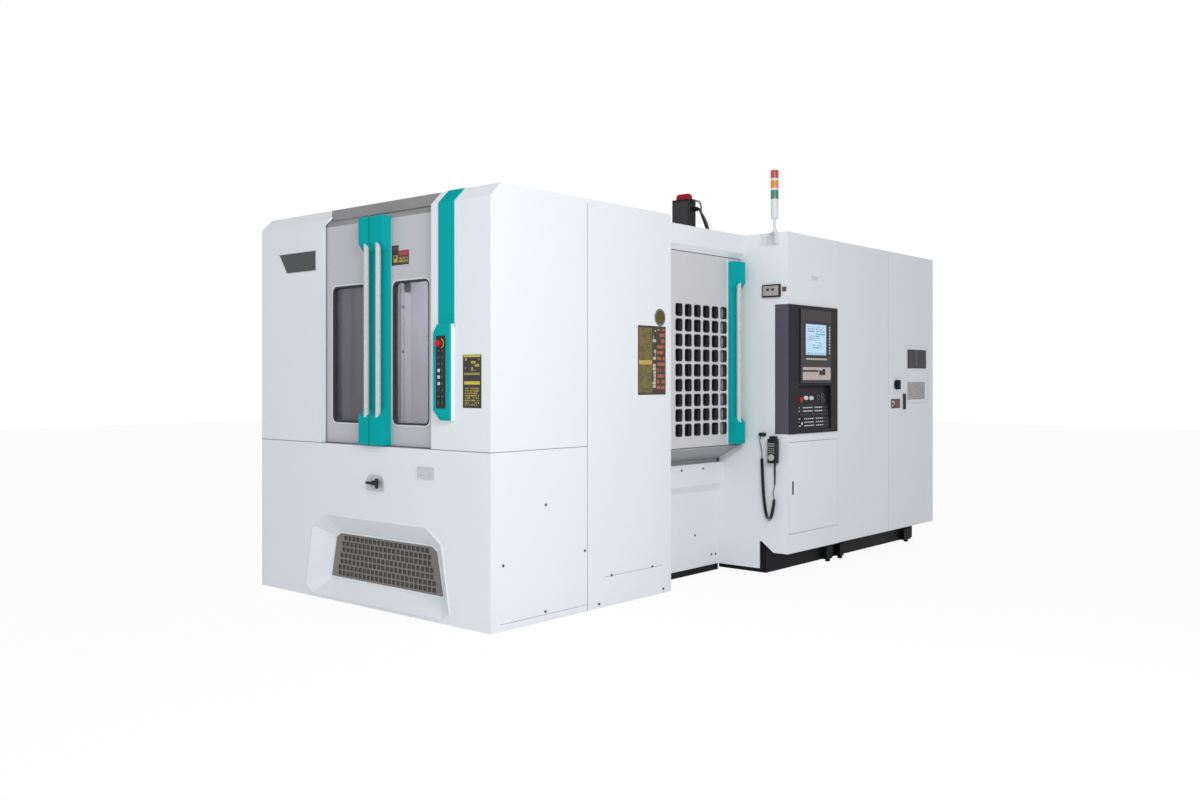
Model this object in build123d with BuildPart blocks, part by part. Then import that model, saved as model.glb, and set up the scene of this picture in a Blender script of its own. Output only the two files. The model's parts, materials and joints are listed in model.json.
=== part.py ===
"""Horizontal machining centre with a two pallet changer, as separate solids.

Lengths are in millimetres. The machine stands on the floor at z = 0, with the origin under the
middle of its outline. -Y is the loading front with the two sliding doors, +X is the side with the
operator's panel and the electrical cabinets, and +Z is up.
"""

import os
from math import hypot, radians, tan

from build123d import *

# Overall layout
enclosure_width = 2375.0    # pallet enclosure, side to side
enclosure_depth = 1727.0    # pallet enclosure, front to back
enclosure_height = 2625.0
side_bay_length = 943.0     # behind the enclosure, under the side door
console_length = 777.0      # operator's column
service_length = 868.0      # first cabinet
power_length = 897.0        # second cabinet
body_height = 2575.0        # roof behind the pallet enclosure
cabinet_overhang = 370.0    # face of the cabinet doors, outside the enclosure's right side
knob_reach = 45.0           # breaker handle in front of the cabinet doors
stop_reach = 75.0           # stop button in front of the front face

right = (enclosure_width - cabinet_overhang - knob_reach) / 2
left = right - enclosure_width
body_length = enclosure_depth + side_bay_length + console_length + service_length + power_length
front = (stop_reach - body_length) / 2
enclosure_back = front + enclosure_depth
step_face = enclosure_back + side_bay_length    # where the operator's column starts
console_back = step_face + console_length
service_back = console_back + service_length
back = service_back + power_length
machine_x = right - 1080.0  # plane of the spindle, the pallets and the door meeting

# Sheet work
panel = 30.0                # depth of a folded panel
sheet = 3.0                 # wall of a folded panel
cover = 10.0                # flat covers of the operator's column
seam = 0.3                  # line between two fixed panels
door_seam = 3.0             # open line round a hinged door
touch_gap = 0.5             # running gap under a sliding door
running_gap = 0.05          # clearance of a turning or sliding round in its bore
plinth_rise = 50.0          # lower edge of the rear body's panels

# Front enclosure
seam_height = 1049.0
side_seam = 846.0           # upright seam of the side, from the front face
crown_depth = 83.0          # sloped top edge of the front, front to back
crown_drop = 84.0
left_tower_width = 729.0
right_tower_width = 524.0
opening_left = left + left_tower_width
opening_right = right - right_tower_width
crown_height = enclosure_height - crown_drop

# Front doors
door_inset = 40.0           # door face behind the front face
door_thickness = 30.0
door_foot = 1055.0
door_crown = crown_height - 38.0    # where the door's upper edge starts to slope
left_door_overlap = 50.0    # behind the tower, with the door closed
right_door_overlap = 34.0
window_width = 351.0
window_foot = 1192.0
window_top = door_crown - 409.0
window_corner = 40.0
left_window_x = right - 1397.5
right_window_x = right - 762.5
pane_thickness = 6.0
pane_lap = 25.0
grip_width = 120.0          # the coloured handle strip of a door
grip_reach = 74.0
grip_top = door_crown + 15.0
scoop_depth = 50.0
scoop_foot = 1230.0
scoop_top = grip_top - 168.0
scoop_slope = 60.0
bar_radius = 17.0
guide_width = 10.0

# Alcove in the lower front panel
alcove_x = right - 1090.0
alcove_depth = 95.0
alcove_wall = 4.0
mouth_outline = [(515.0, 563.0), (655.0, 474.0), (730.0, 70.0), (655.0, 25.0)]
throat_outline = [(470.0, 450.0), (530.0, 415.0), (590.0, 135.0), (570.0, 123.0)]
mesh_sheet = 3.0
mesh_lap = 18.0
mesh_pitch_x = 44.0
mesh_pitch_z = 40.0
mesh_hole_width = 34.0
mesh_hole_height = 30.0
mesh_rows = 7

# Control pod on the right tower
stripe_left = right - 454.0
stripe_right = right - 312.0
stripe_sheet = 4.0
pod_left = right - 460.0
pod_right = right - 265.0
pod_foot = 1227.0
pod_top = 1806.0
pod_reach = 40.0
pod_cut = 60.0
keypad_left = right - 431.0
keypad_right = right - 348.0
keypad_foot = 1302.0
keypad_top = 1721.0
keypad_raise = 2.0
pod_stop_x = right - 390.0
pod_stop_z = 1690.0

# Stop buttons
stop_head_radius = 20.0
stop_stem_radius = 9.0
stop_travel = 5.0

# Side of the rear body
recess_face = right - 252.6
recess_upper_face = right - 217.0
recess_step_foot = 622.0
recess_step_top = 678.0
recess_top = 840.0
recess_inner = recess_face - panel
step_seam = 841.0
sill_top = 979.0
sill_outer = right - 40.0
roof_edge = right - 15.0
header_foot = body_height - 139.0
header_soffit = header_foot - 40.0

# Side door
side_face = right - 45.0
side_door_thickness = 30.0
side_door_front = enclosure_back - 27.0
side_door_back = step_face - 30.0
side_door_top = header_soffit - 6.0
side_grip_front = side_door_back - 140.0
side_grip_foot = 993.0
side_grip_top = side_door_top - 27.0
side_scoop_foot = 1150.0
side_scoop_top = side_grip_top - 156.0
light_columns = 6
light_width = 56.0
light_height = 88.0
light_corner = 18.0
light_pitch_y = 90.0
light_pitch_z = 112.0
light_foot = 1328.0         # lower edge of the lowest row
light_head = 34.0           # least margin over the top row
light_rows = int((side_door_top - light_head - light_foot) / light_pitch_z)
light_middle_y = side_grip_front - 320.0
light_middle_z = light_foot + light_height / 2 + (light_rows - 1) * light_pitch_z / 2
side_rail_front = enclosure_back - 807.0

# Operator's column and cabinets
cabinet_inner = right - 253.0
cabinet_rim = right + 340.0
door_face = right + cabinet_overhang
cabinet_foot = 180.0
cabinet_shelf = 257.0       # floor of the part that stands on the base
cabinet_wall = 25.0
cut_low_x = right + 246.0   # slanted corner under the cabinets
cut_high_x = right + 142.0
column_front_left = right + 123.0
housing_back = right + 260.0
housing_face = right + 380.0
housing_height = 968.0
housing_share = 0.6223      # of the column's free height, under the housing
housing_foot = cabinet_foot + housing_share * (body_height - cabinet_foot - housing_height)
housing_top = housing_foot + housing_height
housing_end = console_back - 32.0
door_gap = 0.5
console_door_foot = 327.0
console_door_top = housing_foot - 62.0
console_door_front = step_face + 16.0
console_door_back = console_back - 29.0
console_door_thickness = 25.0
console_rim = 24.0

# Operator's panel
bezel_front = step_face + 157.0
bezel_end = console_back - 154.0
bezel_top = housing_top - 26.0
bezel_foot = bezel_top - 564.0
bezel_raise = 6.0
screen_front = bezel_front + 75.0
screen_end = bezel_end - 71.0
screen_foot = bezel_foot + 218.0
screen_top = bezel_top - 112.0
screen_thickness = 3.0
desk_front = bezel_front - 15.0
desk_end = bezel_end + 7.0
desk_top = bezel_foot - 16.0
desk_foot = desk_top - 335.0
desk_depth_top = 35.0
desk_depth_foot = 8.0
panel_stop_y = desk_front + 50.0
panel_stop_z = desk_top - 108.0
override_y = desk_front + 34.0
override_z = desk_foot + 49.0

# Power cabinet door fittings
breaker_y = service_back + 135.0
breaker_z = 1433.0
latch_y = service_back + 291.0
latch_z = 1293.0

# Base and feet
base_face = right + 176.0
base_height = 225.0
base_foot = 20.0
base_back = back - 17.0

# Inside the machine
bed_foot = 30.0
bed_top = 680.0
column_bed_top = 750.0
bed_half_width = 540.0
column_bed_half_width = 670.0
changer_y = enclosure_back - 377.0
bed_front = changer_y + 210.0
column_bed_front = changer_y + 1600.0
column_bed_back = changer_y + 3100.0
way_spacing = 330.0
way_width = 45.0
way_height = 30.0
saddle_height = 60.0
slide_height = 60.0
pallet_size = 500.0
pallet_height = 100.0
pallet_offset = 680.0       # changer axis to pallet middle
table_y = changer_y + pallet_offset
table_top = 925.0
fork_foot = 935.0
fork_height = 60.0
fork_half_width = 210.0
fork_length = 880.0
post_radius = 120.0
hub_radius = 160.0
wall_half_width = 900.0     # turning wall between the two pallets
wall_thickness = 40.0
wall_foot = 1015.0
wall_top = enclosure_height - 175.0
column_front = changer_y + 1900.0
column_back = changer_y + 2800.0
column_half_width = 500.0
column_top = body_height - 125.0
spindle_z = 1550.0
head_half_width = 250.0
head_half_height = 260.0
nose_y = changer_y + 1500.0
magazine_x = right - 2060.0
magazine_y = changer_y + 2550.0
magazine_z = 1500.0
magazine_radius = 620.0
magazine_pots = 20
stand_x = (magazine_x + 162.0, magazine_x + 222.0)
motor_x = right - 1050.0
motor_y = changer_y + 1955.0
motor_half = 95.0
motor_half_depth = 50.0
motor_top = body_height + 460.0
motor_cap_top = motor_top + 52.0
motor_hole_half = 130.0

# Tower light on a bracket at the top of the operator's column
light_x = right + 280.0
light_y = step_face - 38.0
light_radius = 30.0
bracket_x = (right + 137.0, right + 298.0)
bracket_z = (body_height - 89.0, body_height - 4.0)
bracket_sheet = 5.0
light_body_foot = bracket_z[1] + 102.0
light_body_length = 143.0
lens_lengths = (64.0, 54.0, 61.0)
lens_gap = 18.0
light_pole_radius = 11.0
light_core_radius = 6.0

# Handset and its curly cord, in the plane in front of the operator's column
handset_front = step_face - 60.0
handset_back = step_face - 15.0
handset_left = right + 228.0
handset_right = right + 305.0
handset_foot = 853.0
handset_top = 1034.0
dial_x = right + 267.0
dial_z = 896.0
dial_radius = 24.0
cord_y = step_face - 28.0
lead_radius = 4.0
coil_radius = 13.0
relief_length = 160.0

os.makedirs("parts", exist_ok=True)


def middle(span):
    """The value half way along a span."""
    return (span[0] + span[1]) / 2


def slab(x, y, z, mode=Mode.ADD):
    """A box between two limits on each axis, added to the part in hand or cut from it."""
    with Locations((middle(x), middle(y), middle(z))):
        Box(x[1] - x[0], y[1] - y[0], z[1] - z[0], mode=mode)


def folded_panel(x, y, z, inside):
    """A sheet panel with its edges folded in, open on the side that inside points to."""
    slab(x, y, z)
    hollow = []
    for span, way in zip((x, y, z), inside):
        low = span[0] + (sheet if way >= 0 else -sheet)
        high = span[1] - (sheet if way <= 0 else -sheet)
        hollow.append((low, high))
    slab(*hollow, mode=Mode.SUBTRACT)


def prism(plane, points, length, mode=Mode.ADD):
    """A straight piece with the outline of points on a plane, along the plane's normal."""
    with BuildSketch(plane) as outline:
        with BuildLine():
            Polyline(*points, close=True)
        make_face()
    extrude(outline.sketch, amount=length, mode=mode)


def along_x(points, x, mode=Mode.ADD):
    """A piece with a (y, z) outline between two x limits."""
    prism(Plane.YZ.offset(x[0]), points, x[1] - x[0], mode)


def along_y(points, y, mode=Mode.ADD):
    """A piece with an (x, z) outline between two y limits."""
    prism(Plane.XZ.offset(-y[1]), points, y[1] - y[0], mode)


def along_z(points, z, mode=Mode.ADD):
    """A piece with an (x, y) outline between two z limits."""
    prism(Plane.XY.offset(z[0]), points, z[1] - z[0], mode)


def disc_x(y, z, radius, x, mode=Mode.ADD):
    """A round piece on an axis along X."""
    with Locations(Location((middle(x), y, z), (0, 90, 0))):
        Cylinder(radius, x[1] - x[0], mode=mode)


def disc_y(x, z, radius, y, mode=Mode.ADD):
    """A round piece on an axis along Y."""
    with Locations(Location((x, middle(y), z), (90, 0, 0))):
        Cylinder(radius, y[1] - y[0], mode=mode)


def disc_z(x, y, radius, z, mode=Mode.ADD):
    """A round piece on an upright axis."""
    with Locations((x, y, middle(z))):
        Cylinder(radius, z[1] - z[0], mode=mode)


def write(piece, name):
    """Label a finished piece and write it to its own file."""
    piece.part.label = name
    export_step(piece.part, f"parts/{name}.step")


# Base frame: black plinths under the cabinets and round the rear body
plinth_end = right - 262.0
plinth_width = 135.0
deck_edge = cut_high_x - 4.0

with BuildPart() as base_frame:
    slab((cabinet_inner, base_face), (step_face + cover, base_back), (base_foot, base_height))
    slab((cabinet_inner, deck_edge), (step_face + cover, base_back), (base_height, cabinet_shelf))
    slab((recess_inner - 120.0, plinth_end), (enclosure_back, step_face + cover - seam), (0, plinth_rise))
    slab((left + 15.0, left + 15.0 + plinth_width), (enclosure_back + 13.0, base_back), (0, plinth_rise))
    slab(
        (left + 15.0 + plinth_width + seam, cabinet_inner - seam),
        (base_back - plinth_width, base_back),
        (0, plinth_rise),
    )
write(base_frame, "base_frame")

# Machine bed: the table ways in front of the column's seat, with the changer's post in front of it
# and the tool magazine's stand beside it, each a casting of its own
bed_chamfer = 70.0
pocket_depth = 30.0
pocket_size = 260.0
pocket_pitch = 420.0
flange_height = 60.0
flange_rim = 30.0
stand_half_width = 150.0
stand_foot_height = 40.0
stand_foot_reach = 60.0

with BuildPart() as machine_bed:
    bed_x = (machine_x - bed_half_width, machine_x + bed_half_width)
    seat_x = (machine_x - column_bed_half_width, machine_x + column_bed_half_width)
    along_y(
        [
            (bed_x[0], bed_foot),
            (bed_x[1], bed_foot),
            (bed_x[1], bed_top - bed_chamfer),
            (bed_x[1] - bed_chamfer, bed_top),
            (bed_x[0] + bed_chamfer, bed_top),
            (bed_x[0], bed_top - bed_chamfer),
        ],
        (bed_front, column_bed_front),
    )
    slab(seat_x, (column_bed_front, column_bed_back), (bed_foot, column_bed_top))
    for side in (-1, 1):
        way_x = machine_x + side * way_spacing
        slab(
            (way_x - way_width / 2, way_x + way_width / 2),
            (bed_front + 40.0, column_bed_front),
            (bed_top, bed_top + way_height),
        )
        flank = machine_x + side * (column_bed_half_width - pocket_depth / 2)
        for rib in (-1, 0, 1):
            pocket_y = middle((column_bed_front, column_bed_back)) + rib * pocket_pitch
            with Locations((flank, pocket_y, 360.0)):
                Box(pocket_depth, pocket_size, pocket_size, mode=Mode.SUBTRACT)
    disc_z(machine_x, changer_y, hub_radius + flange_rim, (0, flange_height - seam))
    slab(
        (machine_x - hub_radius, machine_x + hub_radius),
        (changer_y, bed_front - seam),
        (bed_foot, flange_height - seam),
    )
    disc_z(machine_x, changer_y, post_radius, (flange_height, fork_foot - touch_gap))
    slab(
        (stand_x[0] - stand_foot_reach, seat_x[0] - seam),
        (magazine_y - stand_half_width, magazine_y + stand_half_width),
        (0, stand_foot_height - seam),
    )
    slab(
        stand_x,
        (magazine_y - stand_half_width, magazine_y + stand_half_width),
        (stand_foot_height, magazine_z + 120.0),
    )
write(machine_bed, "machine_bed")

# Levelling feet: pads under the bed, and feet bolted to the side of the base
pad_radius = 70.0
foot_reach = 40.0
foot_height = 120.0
pad_inset = 110.0

with BuildPart() as levelling_feet:
    for pad_y in (bed_front + pad_inset, middle((bed_front, column_bed_front))):
        for side in (-1, 1):
            disc_z(machine_x + side * (bed_half_width - pad_inset), pad_y, pad_radius, (0, bed_foot))
    for pad_y in (column_bed_front + pad_inset, column_bed_back - pad_inset):
        for side in (-1, 1):
            disc_z(machine_x + side * (column_bed_half_width - pad_inset), pad_y, pad_radius, (0, bed_foot))
    for foot_y, foot_width in ((3575.0, 92.0), (3780.0, 60.0), (5018.0, 140.0)):
        foot_span = (front + foot_y - foot_width / 2, front + foot_y + foot_width / 2)
        slab((base_face, base_face + foot_reach), foot_span, (base_foot, foot_height))
        disc_z(base_face + foot_reach / 2 + 2.0, front + foot_y, foot_reach / 2, (0, base_foot))
write(levelling_feet, "levelling_feet")

# Lower front panel, with its funnel-shaped alcove, upper ledge and door guide
ledge_depth = 90.0
ledge_sheet = 4.0
lower_panel_top = seam_height - seam
guide_y = (front + 50.0, front + 50.0 + guide_width)
guide_top = door_foot - touch_gap


def alcove_points(outline, grow=0.0):
    """A closed outline from the points of its right half, mirrored about the alcove's middle."""
    top = outline[0][1]
    foot = outline[-1][1]
    middle_height = (top + foot) / 2
    right_half = []
    for half_width, height in outline:
        lift = grow if height > middle_height else -grow
        right_half.append((alcove_x + half_width + grow, height + lift))
    left_half = [(2 * alcove_x - x, z) for x, z in reversed(right_half)]
    return right_half + left_half


def alcove_funnel(grow, mode):
    """The space between the alcove's mouth and its throat, grown outwards by a wall."""
    with BuildPart(mode=Mode.PRIVATE) as funnel:
        with BuildSketch(Plane.XZ.offset(-front)):
            with BuildLine():
                Polyline(*alcove_points(mouth_outline, grow), close=True)
            make_face()
        with BuildSketch(Plane.XZ.offset(-(front + alcove_depth))):
            with BuildLine():
                Polyline(*alcove_points(throat_outline, grow), close=True)
            make_face()
        loft(ruled=True)
    add(funnel.part, mode=mode)


with BuildPart() as front_lower_panel:
    folded_panel((left, right), (front, front + panel), (0, lower_panel_top), (0, 1, 0))
    slab(
        (left + panel, right - panel),
        (front + panel - sheet, front + ledge_depth),
        (lower_panel_top - ledge_sheet, lower_panel_top),
    )
    slab((left + panel + 10.0, right - panel - 10.0), guide_y, (lower_panel_top, guide_top))
    alcove_funnel(alcove_wall, Mode.ADD)
    alcove_funnel(0.0, Mode.SUBTRACT)
write(front_lower_panel, "front_lower_panel")

# Alcove grille: a punched sheet behind the funnel
with BuildPart() as alcove_grille:
    grille_y = front + alcove_depth
    along_y(alcove_points(throat_outline, mesh_lap), (grille_y, grille_y + mesh_sheet))
    throat_top = throat_outline[0][1]
    throat_foot = throat_outline[-1][1]
    for row in range(mesh_rows):
        hole_z = middle((throat_foot, throat_top)) + (row - (mesh_rows - 1) / 2) * mesh_pitch_z
        half_width = throat_outline[0][0] + (throat_top - hole_z) * 0.28 - mesh_pitch_x / 2
        count = int(2 * half_width / mesh_pitch_x)
        with Locations((alcove_x, grille_y + mesh_sheet / 2, hole_z)):
            with GridLocations(mesh_pitch_x, 1.0, count, 1):
                Box(mesh_hole_width, 3 * mesh_sheet, mesh_hole_height, mode=Mode.SUBTRACT)
write(alcove_grille, "alcove_grille")

# Front fittings: the dish of the quarter turn latch, and the coupling plate
latch_x = right - 1064.0
front_latch_z = 812.0
dish_half_width = 87.0
dish_half_height = 52.0
dish_raise = 6.0
dish_sink = 3.0
plate_x = (right - 646.0, right - 497.0)
plate_z = (867.0, 938.0)
plate_raise = 8.0

with BuildPart() as front_fittings:
    slab(
        (latch_x - dish_half_width, latch_x + dish_half_width),
        (front - dish_raise, front),
        (front_latch_z - dish_half_height, front_latch_z + dish_half_height),
    )
    dish_edges = front_fittings.edges().filter_by(Axis.Y).group_by(Axis.Z)[-1]
    fillet(dish_edges, radius=dish_half_height - 4.0)
    disc_y(latch_x, front_latch_z, 44.0, (front - dish_raise, front - dish_raise + dish_sink), Mode.SUBTRACT)
    slab(plate_x, (front - plate_raise, front), plate_z)
    for port in (-1, 1):
        port_x = middle(plate_x) + port * 38.0
        disc_y(port_x, middle(plate_z) - 8.0, 11.0, (front - 20.0, front - plate_raise))
write(front_fittings, "front_fittings")

# Quarter turn latch: a T-shaped handle
latch_seat = front - dish_raise + dish_sink - touch_gap

with BuildPart() as front_latch:
    disc_y(latch_x, front_latch_z, 16.0, (front - 24.0, latch_seat))
    lever_y = (front - 34.0, front - 22.0)
    slab((latch_x - 62.0, latch_x + 34.0), lever_y, (front_latch_z - 9.0, front_latch_z + 9.0))
    slab((latch_x + 34.0, latch_x + 56.0), lever_y, (front_latch_z - 32.0, front_latch_z + 32.0))
    fillet(front_latch.edges().filter_by(Axis.Y).group_by(Axis.X)[-1], radius=8.0)
write(front_latch, "front_latch")


# Towers: upright front covers whose top edge slopes back to the roof
def crown_profile(foot):
    """The (y, z) outline of a front cover, from its lower edge to the roof."""
    slope_cut = panel * tan(radians(45.0) / 2)
    return [
        (front, foot),
        (front, crown_height),
        (front + crown_depth, enclosure_height),
        (front + crown_depth, enclosure_height - panel * 1.4142),
        (front + panel, crown_height - slope_cut),
        (front + panel, foot),
    ]


with BuildPart() as tower_covers:
    along_x(crown_profile(seam_height), (left, opening_left))
    along_x(crown_profile(seam_height), (opening_right, right))
write(tower_covers, "tower_covers")

# Control pod: a coloured stripe down the right tower that widens into a raised housing
with BuildPart() as control_pod:
    stripe_rise = stripe_sheet * tan(radians(45.0) / 2)
    along_x(
        [
            (front, pod_top - pod_cut / 4),
            (front - stripe_sheet, pod_top - pod_cut / 4),
            (front - stripe_sheet, crown_height + stripe_rise),
            (front + crown_depth - stripe_sheet * 0.7071, enclosure_height + stripe_sheet * 0.7071),
            (front + crown_depth, enclosure_height),
            (front, crown_height),
        ],
        (stripe_left, stripe_right),
    )
    along_y(
        [
            (pod_left, pod_foot + pod_cut),
            (pod_left + pod_cut, pod_foot),
            (pod_right, pod_foot),
            (pod_right, pod_top),
            (pod_left + pod_cut, pod_top),
            (pod_left, pod_top - pod_cut),
        ],
        (front - pod_reach, front),
    )
    pod_stop_seat = front - pod_reach - keypad_raise
    slab((keypad_left, keypad_right), (pod_stop_seat, front - pod_reach), (keypad_foot, keypad_top))
    disc_y(
        pod_stop_x,
        pod_stop_z,
        stop_stem_radius + running_gap,
        (pod_stop_seat, pod_stop_seat + 2 * stop_travel),
        Mode.SUBTRACT,
    )
write(control_pod, "control_pod")

# Stop button of the pod: a mushroom head on a stem, pushed towards +Y
stop_head_length = 14.0
stop_lift = stop_travel + 1.0

with BuildPart() as pod_stop_button:
    head_y = (front - stop_reach, pod_stop_seat - stop_lift)
    disc_y(pod_stop_x, pod_stop_z, stop_head_radius, head_y)
    fillet(pod_stop_button.edges().group_by(Axis.Y)[0], radius=stop_head_length / 2)
    stem_y = (pod_stop_seat - stop_lift, pod_stop_seat + stop_travel - 1.0)
    disc_y(pod_stop_x, pod_stop_z, stop_stem_radius, stem_y)
write(pod_stop_button, "pod_stop_button")

# Roof: front and rear panels, with a passage for the axis motor, a cable entry, and the fascia
# over the side door
roof_thickness = panel
lip_drop = 45.0
entry_x = right - 780.0
entry_y = motor_y
entry_height = 40.0
rear_roof = (body_height - roof_thickness, body_height)

with BuildPart() as roof_panels:
    folded_panel(
        (left, right),
        (front + crown_depth, enclosure_back),
        (enclosure_height - panel, enclosure_height),
        (0, 0, -1),
    )
    slab(
        (left + panel, right - panel),
        (enclosure_back - sheet, enclosure_back),
        (enclosure_height - panel - lip_drop, enclosure_height - panel + 1.0),
    )
    along_z(
        [
            (left, enclosure_back + seam),
            (roof_edge, enclosure_back + seam),
            (roof_edge, step_face),
            (cabinet_inner - seam, step_face),
            (cabinet_inner - seam, back),
            (left, back),
        ],
        rear_roof,
    )
    slab(
        (motor_x - motor_hole_half, motor_x + motor_hole_half),
        (motor_y - motor_hole_half, motor_y + motor_hole_half),
        rear_roof,
        Mode.SUBTRACT,
    )
    slab(
        (entry_x - 60.0, entry_x + 60.0),
        (entry_y - 50.0, entry_y + 50.0),
        (body_height, body_height + entry_height),
    )
    along_y(
        [
            (roof_edge, body_height - roof_thickness),
            (roof_edge, header_foot),
            (side_face, header_soffit),
            (side_face - 75.0, header_soffit),
            (side_face - 75.0, body_height - roof_thickness),
        ],
        (enclosure_back + seam, step_face),
    )
write(roof_panels, "roof_panels")


# Side panels
def enclosure_side(x, inside):
    """The three panels of one side of the pallet enclosure: lower, upper with its crown, and rear."""
    seam_y = front + side_seam
    panel_top = enclosure_height - panel
    folded_panel(x, (front + panel, seam_y - seam / 2), (0, lower_panel_top), inside)
    folded_panel(x, (seam_y + seam / 2, enclosure_back), (0, panel_top), inside)
    crown = crown_profile(seam_height)
    along_x(
        [
            crown[5],
            crown[4],
            crown[3],
            (front + crown_depth, panel_top),
            (seam_y - seam / 2, panel_top),
            (seam_y - seam / 2, seam_height),
        ],
        x,
    )


with BuildPart() as right_side_panels:
    enclosure_side((right - panel, right), (-1, 0, 0))
write(right_side_panels, "right_side_panels")

with BuildPart() as left_side_panels:
    enclosure_side((left, left + panel), (1, 0, 0))
    rear_count = 2
    rear_length = (body_length - enclosure_depth - panel - seam) / rear_count
    for index in range(rear_count):
        panel_start = enclosure_back + seam + index * rear_length
        folded_panel(
            (left, left + panel),
            (panel_start, panel_start + rear_length - seam),
            (plinth_rise, body_height - roof_thickness),
            (1, 0, 0),
        )
write(left_side_panels, "left_side_panels")

# Rear panels
with BuildPart() as rear_panels:
    rear_panel_count = 3
    rear_panel_width = (cabinet_inner - seam - left) / rear_panel_count
    for index in range(rear_panel_count):
        panel_left = left + index * rear_panel_width
        folded_panel(
            (panel_left, panel_left + rear_panel_width - seam),
            (back - panel, back),
            (plinth_rise, body_height - roof_thickness),
            (0, -1, 0),
        )
write(rear_panels, "rear_panels")

# Recess wall under the side door, with its return behind the pallet enclosure
with BuildPart() as recess_wall:
    along_y(
        [
            (recess_inner, plinth_rise),
            (recess_face, plinth_rise),
            (recess_face, recess_step_foot),
            (recess_upper_face, recess_step_top),
            (recess_upper_face, recess_top),
            (recess_inner, recess_top),
        ],
        (enclosure_back, step_face),
    )
    slab((recess_inner, right - panel), (enclosure_back - panel, enclosure_back), (plinth_rise, recess_top))
write(recess_wall, "recess_wall")

# Side sill: the slanted trough under the side door, and the rail that the door runs on
rail_middle = side_face - side_door_thickness / 2
rail_x = (rail_middle - guide_width / 2, rail_middle + guide_width / 2)
rail_top = sill_top + 6.0

with BuildPart() as side_sill:
    along_y(
        [
            (recess_inner, recess_top),
            (recess_inner + 20.0, recess_top),
            (recess_inner + 20.0, recess_top + 22.0),
            (right - 70.0, sill_top - 9.0),
            (sill_outer, sill_top - 9.0),
            (sill_outer, sill_top),
            (right - 110.0, sill_top),
            (recess_inner, recess_top + 60.0),
        ],
        (enclosure_back, step_face),
    )
    slab(
        (side_face - side_door_thickness, sill_outer),
        (side_rail_front, enclosure_back),
        (sill_top - 20.0, sill_top),
    )
    slab(rail_x, (side_rail_front, step_face), (sill_top, rail_top))
write(side_sill, "side_sill")

# Column covers: the front face of the wall between the side door and the operator's column, and
# the column's own side cover with its slanted corner and the notch for the housing
with BuildPart() as column_covers:
    step_right = column_front_left - seam
    slab((recess_face, step_right), (step_face, step_face + cover), (plinth_rise, step_seam - seam))
    along_y(
        [
            (right - 229.0, step_seam),
            (step_right, step_seam),
            (step_right, body_height - 2.0),
            (side_face, body_height - 2.0),
            (side_face, 948.0),
        ],
        (step_face, step_face + cover),
    )
    along_y(
        [
            (column_front_left, cabinet_shelf),
            (cut_high_x, cabinet_shelf),
            (cut_low_x, cabinet_foot),
            (door_face, cabinet_foot),
            (door_face, housing_foot),
            (housing_back, housing_foot),
            (housing_back, housing_top),
            (door_face, housing_top),
            (door_face, body_height - 2.0),
            (column_front_left, body_height - 2.0),
        ],
        (step_face, step_face + cover),
    )
write(column_covers, "column_covers")

# Cabinet body: a shell with three bays, open towards the doors
bay_floor = cabinet_shelf + cabinet_wall
bay_top = body_height - cabinet_wall
bays = [
    (step_face + cover + cabinet_wall, console_back - cabinet_wall / 2),
    (console_back + cabinet_wall / 2, service_back - cabinet_wall / 2),
    (service_back + cabinet_wall / 2, back - cabinet_wall),
]

with BuildPart() as cabinet_body:
    along_y(
        [
            (cabinet_inner, cabinet_shelf),
            (cut_high_x, cabinet_shelf),
            (cut_low_x, cabinet_foot),
            (cabinet_rim, cabinet_foot),
            (cabinet_rim, body_height),
            (cabinet_inner, body_height),
        ],
        (step_face + cover, back),
    )
    slab(
        (housing_back, cabinet_rim),
        (step_face + cover, console_back),
        (cabinet_foot, body_height),
        Mode.SUBTRACT,
    )
    for bay in bays:
        slab((cabinet_inner + cabinet_wall, cabinet_rim), bay, (bay_floor, bay_top), Mode.SUBTRACT)
write(cabinet_body, "cabinet_body")

# Drive units on a mounting plate in each of the two cabinets
unit_depth = 200.0
unit_z = (bay_top - 900.0, bay_top - 500.0)
rail_depth = 70.0
rail_z = (bay_top - 1400.0, bay_top - 1250.0)
unit_plate = 4.0
plate_face = cabinet_inner + cabinet_wall + 60.0

with BuildPart() as drive_units:
    for bay, unit_count in ((bays[1], 4), (bays[2], 5)):
        plate_span = (bay[0] + 40.0, bay[1] - 40.0)
        slab((plate_face - unit_plate, plate_face), plate_span, (bay_floor + 150.0, bay_top - 200.0))
        for corner_y in (plate_span[0] + 30.0, plate_span[1] - 30.0):
            for corner_z in (bay_floor + 180.0, bay_top - 230.0):
                disc_x(corner_y, corner_z, 10.0, (cabinet_inner + cabinet_wall, plate_face - unit_plate))
        pitch = (plate_span[1] - plate_span[0]) / unit_count
        for index in range(unit_count):
            unit_y = plate_span[0] + (index + 0.5) * pitch
            unit_span = (unit_y - pitch * 0.38, unit_y + pitch * 0.38)
            slab((plate_face, plate_face + unit_depth), unit_span, unit_z)
        rail_span = (plate_span[0] + 20.0, plate_span[1] - 20.0)
        slab((plate_face, plate_face + rail_depth), rail_span, rail_z)
write(drive_units, "drive_units")

# Console fascia: the white front of the operator's column round the housing and the lower door
fascia_front = step_face + cover
fascia_end = console_back - door_seam
console_pocket = door_face - console_door_thickness - door_gap

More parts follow.
